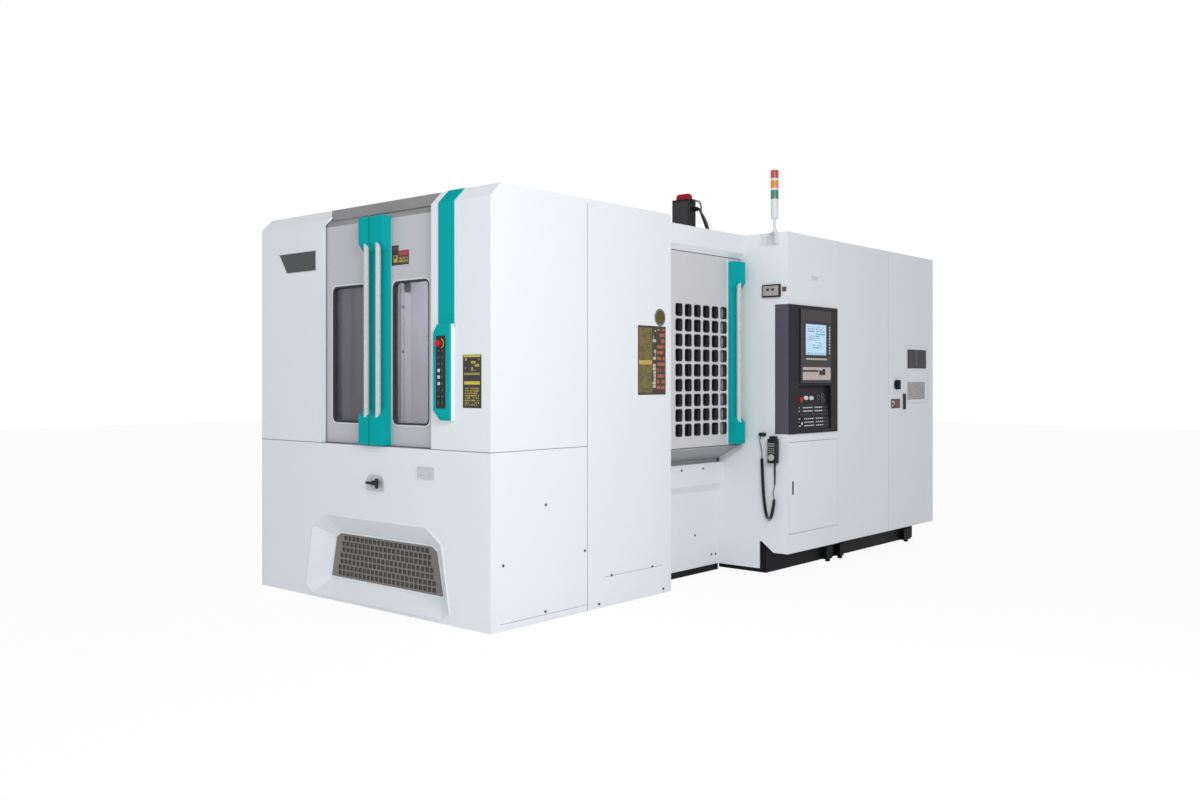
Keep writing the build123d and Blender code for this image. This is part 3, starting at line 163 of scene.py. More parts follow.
class Nodes:
    """A node tree in the making."""

    def __init__(self, tree: bpy.types.NodeTree) -> None:
        """Empty the tree."""
        self.tree = tree
        self.tree.nodes.clear()

    def node(self, kind: str, settings: dict | None = None, inputs: dict | None = None) -> bpy.types.Node:
        """Add a node of any kind.

        Args:
            kind: The node's type.
            settings: Its settings, with a ramp's stops as (position, colour) pairs under "stops".
            inputs: Values or links of its sockets, by name or number.

        Returns:
            The node.
        """
        made = self.tree.nodes.new(kind)
        for key, setting in (settings or {}).items():
            if key == "stops":
                ramp = made.color_ramp
                for index, (position, colour) in enumerate(setting):
                    stop = ramp.elements[index] if index < 2 else ramp.elements.new(position)
                    stop.position = position
                    stop.color = (*colour, 1.0)
            else:
                setattr(made, key, setting)
        for key, given in (inputs or {}).items():
            self.feed(made.inputs[key], given)
        return made

    def feed(self, socket: bpy.types.NodeSocket, given: "Value | float | Colour | bpy.types.NodeSocket") -> None:
        """Link a socket to a value or another socket, or set it to a number, a vector or a colour."""
        if isinstance(given, Value):
            self.tree.links.new(given.socket, socket)
        elif isinstance(given, bpy.types.NodeSocket):
            self.tree.links.new(given, socket)
        elif socket.type == "RGBA":
            socket.default_value = (*given, 1.0)
        else:
            socket.default_value = given

    def value(self, kind: str, settings: dict | None = None, inputs: dict | None = None) -> Value:
        """Add a node and take its first output as a number."""
        return Value(self, self.node(kind, settings, inputs).outputs[0])

    def seen(self) -> Value:
        """1 for the rays of the camera, of mirrors and of panes, else 0."""
        path = self.node("ShaderNodeLightPath")
        kinds = ("Is Camera Ray", "Is Glossy Ray", "Is Transmission Ray")
        camera, glossy, clear = (Value(self, path.outputs[kind]) for kind in kinds)
        return camera.either(glossy).either(clear)


class Paint(Nodes):
    """A material in the making: its node tree, its surface shader and its Object coordinates."""

    def __init__(self, name: str) -> None:
        """Start a material of that name."""
        self.material = bpy.data.materials.new(name)
        self.material.use_nodes = True
        super().__init__(self.material.node_tree)
        self.output = self.node("ShaderNodeOutputMaterial")
        self.surface = self.node("ShaderNodeBsdfPrincipled")
        self.tree.links.new(self.surface.outputs[0], self.output.inputs[0])
        self.place = self.node("ShaderNodeTexCoord").outputs["Object"]
        split = self.node("ShaderNodeSeparateXYZ", {}, {0: self.place})
        self.x, self.y, self.z = (Value(self, socket) for socket in split.outputs)

    def noise(self, scale: float, detail: float = 2.0, stretch: Colour = (1.0, 1.0, 1.0)) -> Value:
        """Cloudy noise on Object coordinates.

        Args:
            scale: Waves per metre.
            detail: How many finer layers it has.
            stretch: How much each axis is squeezed.

        Returns:
            The noise, about 0.5 in the middle.
        """
        moved = self.node("ShaderNodeMapping", {}, {"Vector": self.place, "Scale": stretch})
        inputs = {"Vector": moved.outputs[0], "Scale": scale, "Detail": detail, "Roughness": 0.55}
        return self.value("ShaderNodeTexNoise", {}, inputs)

    def mix(
        self, mask: Value, first: "Colour | bpy.types.NodeSocket", second: "Colour | bpy.types.NodeSocket"
    ) -> bpy.types.NodeSocket:
        """A colour that goes from the first to the second as the mask goes from 0 to 1.

        Args:
            mask: The share of the second colour.
            first: The colour where the mask is 0.
            second: The colour where the mask is 1.

        Returns:
            The mixed colour's socket.
        """
        made = self.node("ShaderNodeMix", {"data_type": "RGBA"}, {"Factor": mask})
        self.feed(made.inputs[6], first)
        self.feed(made.inputs[7], second)
        return made.outputs[2]

    def bump(self, height: Value, distance: float, strength: float = 1.0) -> None:
        """Give the surface a relief.

        Args:
            height: The relief, from 0 to 1.
            distance: What a height of 1 stands for, in metres.
            strength: The share of the relief that shows.
        """
        inputs = {"Height": height, "Distance": distance, "Strength": strength}
        self.put("Normal", self.node("ShaderNodeBump", {}, inputs).outputs[0])

    def put(self, name: str, given: "Value | float | Colour | bpy.types.NodeSocket") -> None:
        """Set or link one socket of the surface shader."""
        self.feed(self.surface.inputs[name], given)

    def shaded(self, mask: Value, colour: Colour, share: float) -> bpy.types.NodeSocket:
        """A colour that darkens to a share of itself as the mask goes from 0 to 1."""
        return self.mix(mask.clipped(), colour, tuple(part * share for part in colour))


# Finishes


@dataclass(frozen=True)
class Line:
    """A straight band along one axis: a joint line, a printed line, a two-tone edge, or a band of painted shade."""

    axis: str
    place: float
    width: float = 0.004
    spans: tuple[tuple[str, Span], ...] = ()

    def mask(self, paint: Paint) -> Value:
        """1 on the line, else 0."""
        made = abs(getattr(paint, self.axis) - self.place).below(self.width / 2)
        for axis, span in self.spans:
            made = made * getattr(paint, axis).within(span)
        return made


class Finish:
    """A kind of surface, whose subclasses say how it coats a material in the making."""

    def coat(self, paint: Paint) -> None:
        """Set the sockets of the surface shader.

        Args:
            paint: The material in the making.
        """
        raise NotImplementedError

    def dress(self, name: str) -> bpy.types.Material:
        """Make the material.

        Args:
            name: The material's name.

        Returns:
            The material.
        """
        paint = Paint(name)
        self.coat(paint)
        return paint.material


@dataclass(frozen=True)
class PowderCoat(Finish):
    """Stoved coat on sheet steel: fine orange peel, slow unevenness, dust near the floor, and straight bands of a
    second colour: dark joints, two-tone parts, and on some coats bands of painted shade.
    """

    colour: Colour
    roughness: float = 0.42
    unevenness: float = 0.035
    seam_trim_and_shade_lines: tuple[Line, ...] = ()
    seam_trim_and_shade_colour: Colour = (0.30, 0.31, 0.33)
    foot_dust: float = 0.06
    gloss: float = 0.25

    def coat(self, paint: Paint) -> None:
        """Set the surface's colour, gloss and relief."""
        cloud = paint.noise(1.7, 3.0)
        wear = paint.noise(21.0, 4.0)
        dust = (1.0 - paint.z / 0.25).clipped() * wear
        shade = (cloud - 0.5) * self.unevenness + (wear - 0.5) * self.unevenness * 0.5
        colour = paint.shaded(shade * 4.0 + dust * self.foot_dust * 4.0, self.colour, 0.82)
        relief = paint.noise(420.0, 1.0)
        # Bands in the second colour: real joints and two-tone parts, and on the door slope, roof edge and teal
        # strips painted shade.
        if self.seam_trim_and_shade_lines:
            mask = self.seam_trim_and_shade_lines[0].mask(paint)
            for band in self.seam_trim_and_shade_lines[1:]:
                mask = mask.either(band.mask(paint))
            colour = paint.mix(mask, colour, self.seam_trim_and_shade_colour)
            relief = relief * (1.0 - mask)
        paint.put("Base Color", colour)
        paint.put("Roughness", wear * 0.12 + (self.roughness - 0.06))
        paint.put("Specular IOR Level", self.gloss)
        paint.bump(relief, 0.0004, 0.10)


@dataclass(frozen=True)
class Moulding(Finish):
    """Moulded plastic or rubber: a grained skin, a little worn."""

    colour: Colour
    roughness: float = 0.5
    grain: float = 900.0
    grain_depth: float = 0.25
    gloss: float = 0.2

    def coat(self, paint: Paint) -> None:
        """Set the surface's colour, gloss and relief."""
        wear = paint.noise(34.0, 3.0)
        paint.put("Base Color", paint.shaded(wear * 1.2 - 0.3, self.colour, 0.72))
        paint.put("Roughness", wear * 0.16 + (self.roughness - 0.08))
        paint.put("Specular IOR Level", self.gloss)
        paint.bump(paint.noise(self.grain, 1.0), 0.0003, self.grain_depth)


@dataclass(frozen=True)
class Metal(Finish):
    """Bare, ground or plated metal, brushed along one axis."""

    colour: Colour
    roughness: float = 0.34
    brushed: Colour = (1.0, 1.0, 14.0)
    metallic: float = 0.9

    def coat(self, paint: Paint) -> None:
        """Set the surface's colour, gloss and relief."""
        scratches = paint.noise(60.0, 4.0, self.brushed)
        stain = paint.noise(6.0, 3.0)
        paint.put("Base Color", paint.shaded(stain * 1.4 - 0.4, self.colour, 0.7))
        paint.put("Metallic", self.metallic)
        paint.put("Roughness", scratches * 0.22 + (self.roughness - 0.11))
        paint.bump(scratches, 0.0003, 0.15)


@dataclass(frozen=True)
class Casting(Finish):
    """Painted iron casting: a lumpy skin with oil marks."""

    colour: Colour

    def coat(self, paint: Paint) -> None:
        """Set the surface's colour, gloss and relief."""
        skin = paint.noise(55.0, 5.0)
        oil = paint.noise(3.0, 4.0)
        paint.put("Base Color", paint.shaded(oil * 1.8 - 0.6, self.colour, 0.6))
        paint.put("Roughness", 0.62 - oil * 0.25)
        paint.bump(skin, 0.0015, 0.4)


@dataclass(frozen=True)
class Pane(Finish):
    """Clear safety glazing, tinted and slightly smeared; on the front panes the tint and opacity also carry painted
    shade.
    """

    colour: Colour
    alpha: float
    roughness: float = 0.08

    def coat(self, paint: Paint) -> None:
        """Set the surface's colour, gloss and relief."""
        smear = paint.noise(5.0, 4.0, (1.0, 1.0, 0.3))
        paint.put("Base Color", self.colour)
        paint.put("Roughness", smear * 0.12 + self.roughness)
        paint.put("Alpha", (smear * 0.16 + (self.alpha - 0.08)).clipped())
        paint.put("IOR", 1.5)


@dataclass(frozen=True)
class Lens(Finish):
    """Ribbed lenses of a signal light, one colour over each foot height, lit a little by the room."""

    zones: tuple[tuple[float, Colour], ...]
    rib: float = 0.004

    def coat(self, paint: Paint) -> None:
        """Set the surface's colour, gloss and relief."""
        ridge = abs(paint.z.repeated(self.rib) - 0.5) * 2.0
        colour = self.zones[0][1]
        for foot, tint in self.zones[1:]:
            colour = paint.mix(paint.z.above(foot), colour, tint)
        colour = paint.mix(ridge * 0.4, colour, (0.02, 0.02, 0.02))
        paint.put("Base Color", colour)
        paint.put("Roughness", 0.2)
        paint.put("Coat Weight", 0.5)
        paint.put("Emission Color", colour)
        paint.put("Emission Strength", 0.12)
        paint.bump(ridge, 0.0008, 0.5)


class PrintKind(Enum):
    """What is printed in a field: a mark's length in row pitches, half its height, and how rare it is.

    BARS are rows of short bars, like unreadable text, and BLOCKS are larger patches.
    """

    PLAIN = ()
    BARS = (0.9, 0.27, 0.47)
    BLOCKS = (3.0, 0.42, 0.53)


@dataclass(frozen=True)
class Field:
    """One printed field of a plate: its box in shares of the plate, its ground and its marks."""

    across: Span
    up: Span
    ground: Colour
    marks: Colour | None = None
    kind: PrintKind = PrintKind.PLAIN
    pitch: float = 0.012


@dataclass(frozen=True)
class PrintedPlate(Finish):
    """A plate or a display with printed or lit fields, placed by its box in the frame."""

    axis: str
    across: Span
    up: Span
    ground: Colour
    fields: tuple[Field, ...] = ()
    roughness: float = 0.45
    glow: float = 0.0

    def coat(self, paint: Paint) -> None:
        """Set the surface's colour, gloss and relief."""
        width = self.across[1] - self.across[0]
        height = self.up[1] - self.up[0]
        sideways = (getattr(paint, self.axis) - self.across[0]) / width
        upwards = (paint.z - self.up[0]) / height
        dirt = paint.noise(60.0, 3.0)
        colour = paint.mix(dirt * 0.25, self.ground, tuple(part * 0.7 for part in self.ground))
        for spot in self.fields:
            inside = sideways.within(spot.across) * upwards.within(spot.up)
            colour = paint.mix(inside, colour, spot.ground)
            if spot.marks is None or spot.kind is PrintKind.PLAIN:
                continue
            length, half_height, rarity = spot.kind.value
            row = (paint.z / spot.pitch).maths("FLOOR")
            along = getattr(paint, self.axis) / (spot.pitch * length)
            word = paint.node("ShaderNodeCombineXYZ", {}, {0: along, 1: row * ROW_SHIFT})
            chance = paint.value("ShaderNodeTexNoise", {}, {"Vector": word.outputs[0], "Scale": 1.0, "Detail": 1.0})
            line = abs(paint.z.repeated(spot.pitch) - 0.5).below(half_height)
            colour = paint.mix(inside * line * chance.above(rarity), colour, spot.marks)
        paint.put("Base Color", colour)
        paint.put("Roughness", dirt * 0.1 + (self.roughness - 0.05))
        if self.glow > 0:
            paint.put("Emission Color", colour)
            paint.put("Emission Strength", self.glow)
        paint.bump(dirt, 0.0002, 0.1)

    def sheet(self, corner: float, thickness: float, edge: float = 0.0004, steps: int = 3) -> "Surface":
        """The plate's own sheet, with round corners.

        Args:
            corner: The radius of its corners.
            thickness: Its thickness.
            edge: The rounding of its top edge.
            steps: Straight parts in a corner.

        Returns:
            The sheet.
        """
        (left, right), (low, high) = self.across, self.up
        outline = rounded(((left + right) / 2, (low + high) / 2), (right - left, high - low), corner, steps)
        return plate(outline, thickness, edge)


# Surfaces


class Side(Enum):
    """The way that a face of the machine looks, by its across and its up direction."""

    FRONT = ((1, 0, 0), (0, 0, 1))
    RIGHT = ((0, 1, 0), (0, 0, 1))
    TOP = ((1, 0, 0), (0, 1, 0))


@dataclass(frozen=True)
class Surface:
    """Points and faces held as whole arrays: quads, and the many-sided caps that close the ends."""

    points: np.ndarray
    quads: np.ndarray
    caps: tuple[np.ndarray, ...] = ()

    def repeated(self, offsets: np.ndarray) -> "Surface":
        """Copies of the surface, one for each offset added to all its points.

        Args:
            offsets: An array of (n, 3) offsets.

        Returns:
            The copies as one surface.
        """
        count = len(self.points)
        steps = np.arange(len(offsets)) * count
        points = (self.points[None] + offsets[:, None]).reshape(-1, 3)
        quads = (self.quads[None] + steps[:, None, None]).reshape(-1, 4)
        caps = tuple(cap + step for step in steps for cap in self.caps)
        return Surface(points, quads, caps)


def joined(surfaces: Sequence[Surface]) -> Surface:
    """Several surfaces as one, with each one's face numbers moved past the points before it."""
    starts = np.cumsum([0] + [len(part.points) for part in surfaces[:-1]])
    points = np.concatenate([part.points for part in surfaces])
    quads = np.concatenate([part.quads + start for part, start in zip(surfaces, starts)])
    caps = tuple(cap + start for part, start in zip(surfaces, starts) for cap in part.caps)
    return Surface(points, quads, caps)


@dataclass(frozen=True)
class Outline:
    """A closed outline, anticlockwise, with the way that each point moves as the outline grows."""

    points: np.ndarray
    spread: np.ndarray


def rounded(centre: Sequence[float], size: Sequence[float], corner: float, steps: int = 5) -> Outline:
    """A rectangle with round corners: each corner is a quarter circle about a point set in by its radius.

    Args:
        centre: Its middle, across and up.
        size: Its width and height.
        corner: The radius of its corners.
        steps: Straight parts in a corner.

    Returns:
        The outline.
    """
    quarter = np.arange(4)[:, None] * pi / 2
    angles = (quarter + np.linspace(0, pi / 2, steps + 1)[None]).ravel()
    spread = np.stack([np.cos(angles), np.sin(angles)], axis=1)
    signs = np.repeat(np.array([[1, 1], [-1, 1], [-1, -1], [1, -1]]), steps + 1, axis=0)
    inset = np.array(size) / 2 - corner
    return Outline(np.array(centre) + signs * inset + corner * spread, spread)


def polygon(corners: Sequence[Sequence[float]]) -> Outline:
    """An outline of straight edges, where each corner moves along the mitre of its two edges.

    Args:
        corners: The corners, anticlockwise.

    Returns:
        The outline.
    """
    points = np.array(corners, dtype=float)
    edges = np.roll(points, -1, axis=0) - points
    edges /= np.linalg.norm(edges, axis=1, keepdims=True)
    normals = np.stack([edges[:, 1], -edges[:, 0]], axis=1)
    before = np.roll(normals, 1, axis=0)
    mitre = (normals + before) / (1.0 + np.sum(normals * before, axis=1, keepdims=True))
    return Outline(points, mitre)


def circle(centre: Sequence[float], steps: int = 24) -> Outline:
    """A point that grows into a circle: all its points lie at the centre and move out along rays."""
    angles = np.arange(steps) * 2 * pi / steps
    rays = np.stack([np.cos(angles), np.sin(angles)], axis=1)
    return Outline(np.tile(np.array(centre, dtype=float), (steps, 1)), rays)


def loft(outline: Outline, profile: Sequence[Sequence[float]], looped: bool = False) -> Surface:
    """Carry a profile round an outline: ring k is the outline grown by profile k, at its height.

    Args:
        outline: The outline on the face.
        profile: (growth, height) pairs, from the foot to the top, or anticlockwise round a ring.
        looped: True for a ring, whose last row joins its first. Else both ends get a cap.

    Returns:
        The surface, in (across, up, out) coordinates.
    """
    rows = np.array(profile, dtype=float)
    count = len(outline.points)
    rings = outline.points[None] + rows[:, 0][:, None, None] * outline.spread[None]
    heights = np.broadcast_to(rows[:, 1][:, None, None], (len(rows), count, 1))
    points = np.concatenate([rings, heights], axis=2).reshape(-1, 3)
    lower = np.arange(len(rows) if looped else len(rows) - 1)
    upper = (lower + 1) % len(rows)
    here = np.arange(count)
    after = (here + 1) % count
    corners = [
        lower[:, None] * count + here[None],
        lower[:, None] * count + after[None],
        upper[:, None] * count + after[None],
        upper[:, None] * count + here[None],
    ]
    quads = np.stack(corners, axis=2).reshape(-1, 4)
    if looped:
        return Surface(points, quads)
    return Surface(points, quads, (here[::-1], here + (len(rows) - 1) * count))


def plate(outline: Outline, thickness: float, edge: float = 0.0006, foot: float = 0.0) -> Surface:
    """A flat plate whose top edge is rounded by two small steps."""
    rows = [(0, foot), (0, thickness - edge), (-0.3 * edge, thickness - 0.3 * edge), (-edge, thickness)]
    return loft(outline, rows)


def pad(
    centre: Sequence[float],
    size: Sequence[float],
    corner: float,
    steps: int,
    thickness: float,
    edge: float,
    foot: float = 0.0,
) -> Surface:
    """A plate with the outline of a rounded rectangle, such as a key or a label."""
    return plate(rounded(centre, size, corner, steps), thickness, edge, foot)


def surround(
    across: Span, up: Span, low: Sequence[float], high: Sequence[float], foot: float, top: float
) -> Surface:
    """Four plain sheets round a rectangular opening: over it, under it, and at its two sides.

    Args:
        across: The sheets' outer span across.
        up: Their outer span up.
        low: The opening's lowest corner.
        high: The opening's highest corner.
        foot: The height of their back.
        top: The height of their face.

    Returns:
        The sheets.
    """
    boxes = (
        (across, (high[1], up[1])),
        (across, (up[0], low[1])),
        ((across[0], low[0]), (low[1], high[1])),
        ((high[0], across[1]), (low[1], high[1])),
    )
    corners = [((a, c), (b, c), (b, d), (a, d)) for (a, b), (c, d) in boxes]
    return joined([loft(polygon(points), [(0.0, foot), (0.0, top)]) for points in corners])


def trim(outline: Outline, width: float, height: float) -> Surface:
    """A ring with a low arched section, outside the outline."""
    shares = np.array([(0, 0), (1, 0), (1, 0.6), (0.7, 1), (0.3, 1), (0, 0.6)])
    return loft(outline, shares * (width, height), looped=True)


def turned(centre: Sequence[float], profile: Sequence[Sequence[float]], steps: int = 24) -> Surface:
    """A turned part: the (radius, height) profile goes round the centre."""
    return loft(circle(centre, steps), profile)


def tube(path: np.ndarray, guide: np.ndarray, radius: float, sides: int = 8) -> Surface:
    """A round tube: a circle in the plane across the path at each of its points.

    Args:
        path: The (n, 3) points of its middle line.
        guide: The (n, 3) directions in which each circle's first point lies.
        radius: The tube's radius.
        sides: Sides of the circle.

    Returns:
        The surface, in the coordinates of the path.
    """
    along = np.gradient(path, axis=0)
    along /= np.linalg.norm(along, axis=1, keepdims=True)
    first = guide - np.sum(guide * along, axis=1, keepdims=True) * along
    first /= np.linalg.norm(first, axis=1, keepdims=True)
    second = np.cross(along, first)
    angles = np.arange(sides) * 2 * pi / sides
    ring = np.cos(angles)[None, :, None] * first[:, None] + np.sin(angles)[None, :, None] * second[:, None]
    points = (path[:, None] + radius * ring).reshape(-1, 3)
    lower = np.arange(len(path) - 1)[:, None] * sides
    here = np.arange(sides)
    after = (here + 1) % sides
    corners = (lower + here, lower + after, lower + sides + after, lower + sides + here)
    quads = np.stack(corners, axis=2)
    return Surface(points, quads.reshape(-1, 4), (here[::-1], here + (len(path) - 1) * sides))


@dataclass(frozen=True)
class Face:
    """A flat face of the machine, on which surfaces are placed by (across, up, out) coordinates."""

    side: Side
    level: float
    lean: float = 0.0
    hinge: float = 0.0

    def place(self, surface: Surface) -> Surface:
        """Move a surface from the face's own coordinates to the frame's.

        Each point is across times the across direction, plus up times the up direction, plus the
        level, its own out and the face's lean, times the direction that the face looks.

        Args:
            surface: The surface in (across, up, out) coordinates.

        Returns:
            The surface in the frame.
        """
        across, up = (np.array(way, dtype=float) for way in self.side.value)
        out = np.cross(across, up)
        raised = surface.points[:, 2] + self.level + self.lean * (surface.points[:, 1] - self.hinge)
        points = surface.points[:, :1] * across + surface.points[:, 1:2] * up + raised[:, None] * out
        return Surface(points, surface.quads, surface.caps)


# Finishes and pieces of the shop


# Grey of the painted shade on the doors' sloped tops, also used for the crown seal.
SLOPE_SHADE_GREY = (0.285, 0.280, 0.285)
SOOT = (0.018, 0.016, 0.018)
SEAM_Y = -1.7225
SEAM_Z = 1.049
SIDE_SEAMS = (
    Line("z", SEAM_Z, 0.005, (("y", (-2.60, SEAM_Y)),)),
    Line("y", SEAM_Y, 0.005),
    Line("z", 0.194, 0.003, (("y", (-1.5505, -0.9445)),)),
    Line("z", 0.042, 0.003, (("y", (-2.4935, -1.7265)),)),
)
FRONT_SEAMS = (Line("z", SEAM_Z, 0.006),)
# The roof's front edge over the door opening, painted grey to continue the doors' slope: the doors' grey darkened
# by painted shade.
ROOF_EDGE_SLOPE_SHADE = (Line("y", -2.4855, 0.040, (("x", (-0.664, 0.454)),)),)
# Painted shade: the leaves' sloped tops, z 2.504 to 2.596, darkened to the slope shade grey.
DOOR_SLOPE_SHADE = (Line("z", 2.550, 0.092),)
# Painted shade: a dark teal line where the leaves' strips meet, for the shadow of a groove that the flat strips
# don't have.
STRIP_GROOVE_SHADE = (Line("x", -0.110, 0.007),)
MOTOR_CAP = (Line("z", 3.075, 0.079),)
LINING_SEAMS = tuple(Line("y", place, 0.006) for place in (-1.408, -1.301, -1.700, -1.880))
LENS_ZONES = ((0.0, (0.0, 0.20, 0.11)), (2.889, (0.80, 0.24, 0.01)), (2.961, (0.55, 0.012, 0.03)))

# Each slot of the record, with the finishes that belong to it
FINISHES: dict[str, dict[str, Finish]] = {
    "body_white": {
        "body_white": PowderCoat(WHITE),
        "side_white": PowderCoat(WHITE, seam_trim_and_shade_lines=SIDE_SEAMS),
        "front_white": PowderCoat(WHITE, seam_trim_and_shade_lines=FRONT_SEAMS),
        "roof_white": PowderCoat(WHITE, seam_trim_and_shade_lines=ROOF_EDGE_SLOPE_SHADE, seam_trim_and_shade_colour=(0.27, 0.27, 0.275)),
        "pod_white": PowderCoat(WHITE, 0.5, 0.02),
        "stand_white": PowderCoat((0.72, 0.74, 0.76), 0.4),
        "plate_white": Moulding((0.74, 0.75, 0.77), 0.4),
        "side_door_grey": PowderCoat((0.62, 0.61, 0.635), 0.4, 0.05),
        "sill_grey": PowderCoat((0.36, 0.365, 0.37), 0.4, 0.2),
    },
    "door_grey": {
        "door_grey": PowderCoat((0.545, 0.550, 0.580), 0.38, seam_trim_and_shade_lines=DOOR_SLOPE_SHADE, seam_trim_and_shade_colour=SLOPE_SHADE_GREY),
        "seal_grey": PowderCoat(SLOPE_SHADE_GREY, 0.4),
        "rim_light": PowderCoat((0.74, 0.76, 0.80), 0.35),
    },
    "teal_paint": {
        "teal_paint": PowderCoat(TEAL, 0.5, 0.08, gloss=0.0),
        "door_teal": PowderCoat(TEAL, 0.5, 0.08, STRIP_GROOVE_SHADE, (0.003, 0.13, 0.14), gloss=0.0),
    },
    "bar_grey": {"bar_grey": Moulding((0.66, 0.65, 0.64), 0.35, 600.0)},
    "mesh_grey": {
        "mesh_grey": PowderCoat((0.21, 0.20, 0.19), 0.5),
        "filter_mat": Moulding((0.12, 0.115, 0.11), 0.95, 260.0, 1.0),
    },
    "zinc_steel": {
        "zinc_screws": Metal((0.10, 0.10, 0.11), 0.38, metallic=0.5),
        "zinc_plate": Metal((0.62, 0.64, 0.67), 0.4, metallic=0.3),
        "bright_edge": Metal((0.55, 0.56, 0.58), 0.3),
        "disc_grey": Metal((0.22, 0.23, 0.25), 0.45),
    },
    "ground_steel": {"ground_steel": Metal((0.56, 0.57, 0.59))},
    "casting_grey": {"casting_grey": Casting((0.30, 0.31, 0.34))},
    "changer_grey": {
        "changer_grey": PowderCoat((0.50, 0.49, 0.54), 0.4),
        "lining_grey": PowderCoat((0.50, 0.475, 0.55), 0.4, 0.1, LINING_SEAMS, (0.16, 0.15, 0.18)),
        "rib_grey": PowderCoat((0.24, 0.235, 0.27), 0.4),
    },
    "window_glass": {
        # The two front panes are the same glass: the left's darker tint and higher opacity are painted shade of the
        # dim inside behind it, and the right's paler, clearer pane lets the lit inside show.
        "left_glass": Pane((0.085, 0.080, 0.100), 0.80),
        "right_glass": Pane((0.20, 0.185, 0.225), 0.32),
        "side_glass": Pane((0.010, 0.009, 0.012), 0.90),
    },
    "housing_black": {
        "bare_plate": PowderCoat((0.060, 0.065, 0.072), 0.35, 0.1),
        "bezel_grey": PowderCoat((0.062, 0.054, 0.058), 0.5, 0.15, gloss=0.15),
    },
    "motor_black": {
        "motor_black": PowderCoat((0.012, 0.012, 0.014), 0.4, 0.2, MOTOR_CAP, (0.34, 0.006, 0.02), gloss=0.15),
        "flank_grey": Moulding((0.045, 0.043, 0.046), 0.5),
    },
    "base_black": {"base_black": PowderCoat((0.008, 0.0085, 0.0105), 0.5, 0.2, gloss=0.08)},
    "unit_grey": {
        "unit_grey": PowderCoat((0.30, 0.31, 0.33), 0.5),
        "guard_grey": Moulding((0.36, 0.35, 0.37), 0.5),
        "slat_grey": Moulding((0.075, 0.07, 0.08), 0.5),
    },
    "black_plastic": {
        "black_plastic": Moulding(COAL, 0.42),
        "gasket_rubber": Moulding((0.05, 0.05, 0.055), 0.7),
        "key_grey": Moulding((0.045, 0.045, 0.05), 0.4),
        "pull_wine": Moulding((0.055, 0.018, 0.024), 0.4),
        "disc_hub": Moulding((0.11, 0.085, 0.015), 0.5),
        "meter_brown": Moulding((0.055, 0.028, 0.022), 0.4),
        "socket_brown": Moulding((0.16, 0.11, 0.06), 0.5),
    },
    "light_grey_plastic": {
        "lit_key": Moulding((0.72, 0.74, 0.76), 0.35),
        "mark_grey": Moulding((0.30, 0.30, 0.31), 0.5),
        "strip_grey": Moulding((0.40, 0.40, 0.41), 0.4),
        "dial_grey": Moulding((0.50, 0.50, 0.52), 0.4),
        "key_beige": Moulding((0.66, 0.60, 0.52), 0.5),
        "slot_beige": Moulding((0.60, 0.53, 0.50), 0.5),
        "meter_beige": Moulding((0.46, 0.42, 0.40), 0.45),
        "collar_clear": Moulding((0.80, 0.79, 0.76), 0.3),
    },
    "red_plastic": {
        "red_plastic": Moulding((0.55, 0.015, 0.012), 0.3),
        "stop_yellow": Moulding((0.62, 0.42, 0.01), 0.4),
    },
    "lens_red": {"lens_red": Lens(LENS_ZONES)},
    "cord_black": {
        "cord_black": Moulding((0.016, 0.016, 0.018), 0.45),
        "cord_grey": Moulding((0.11, 0.11, 0.12), 0.5),
    },
}


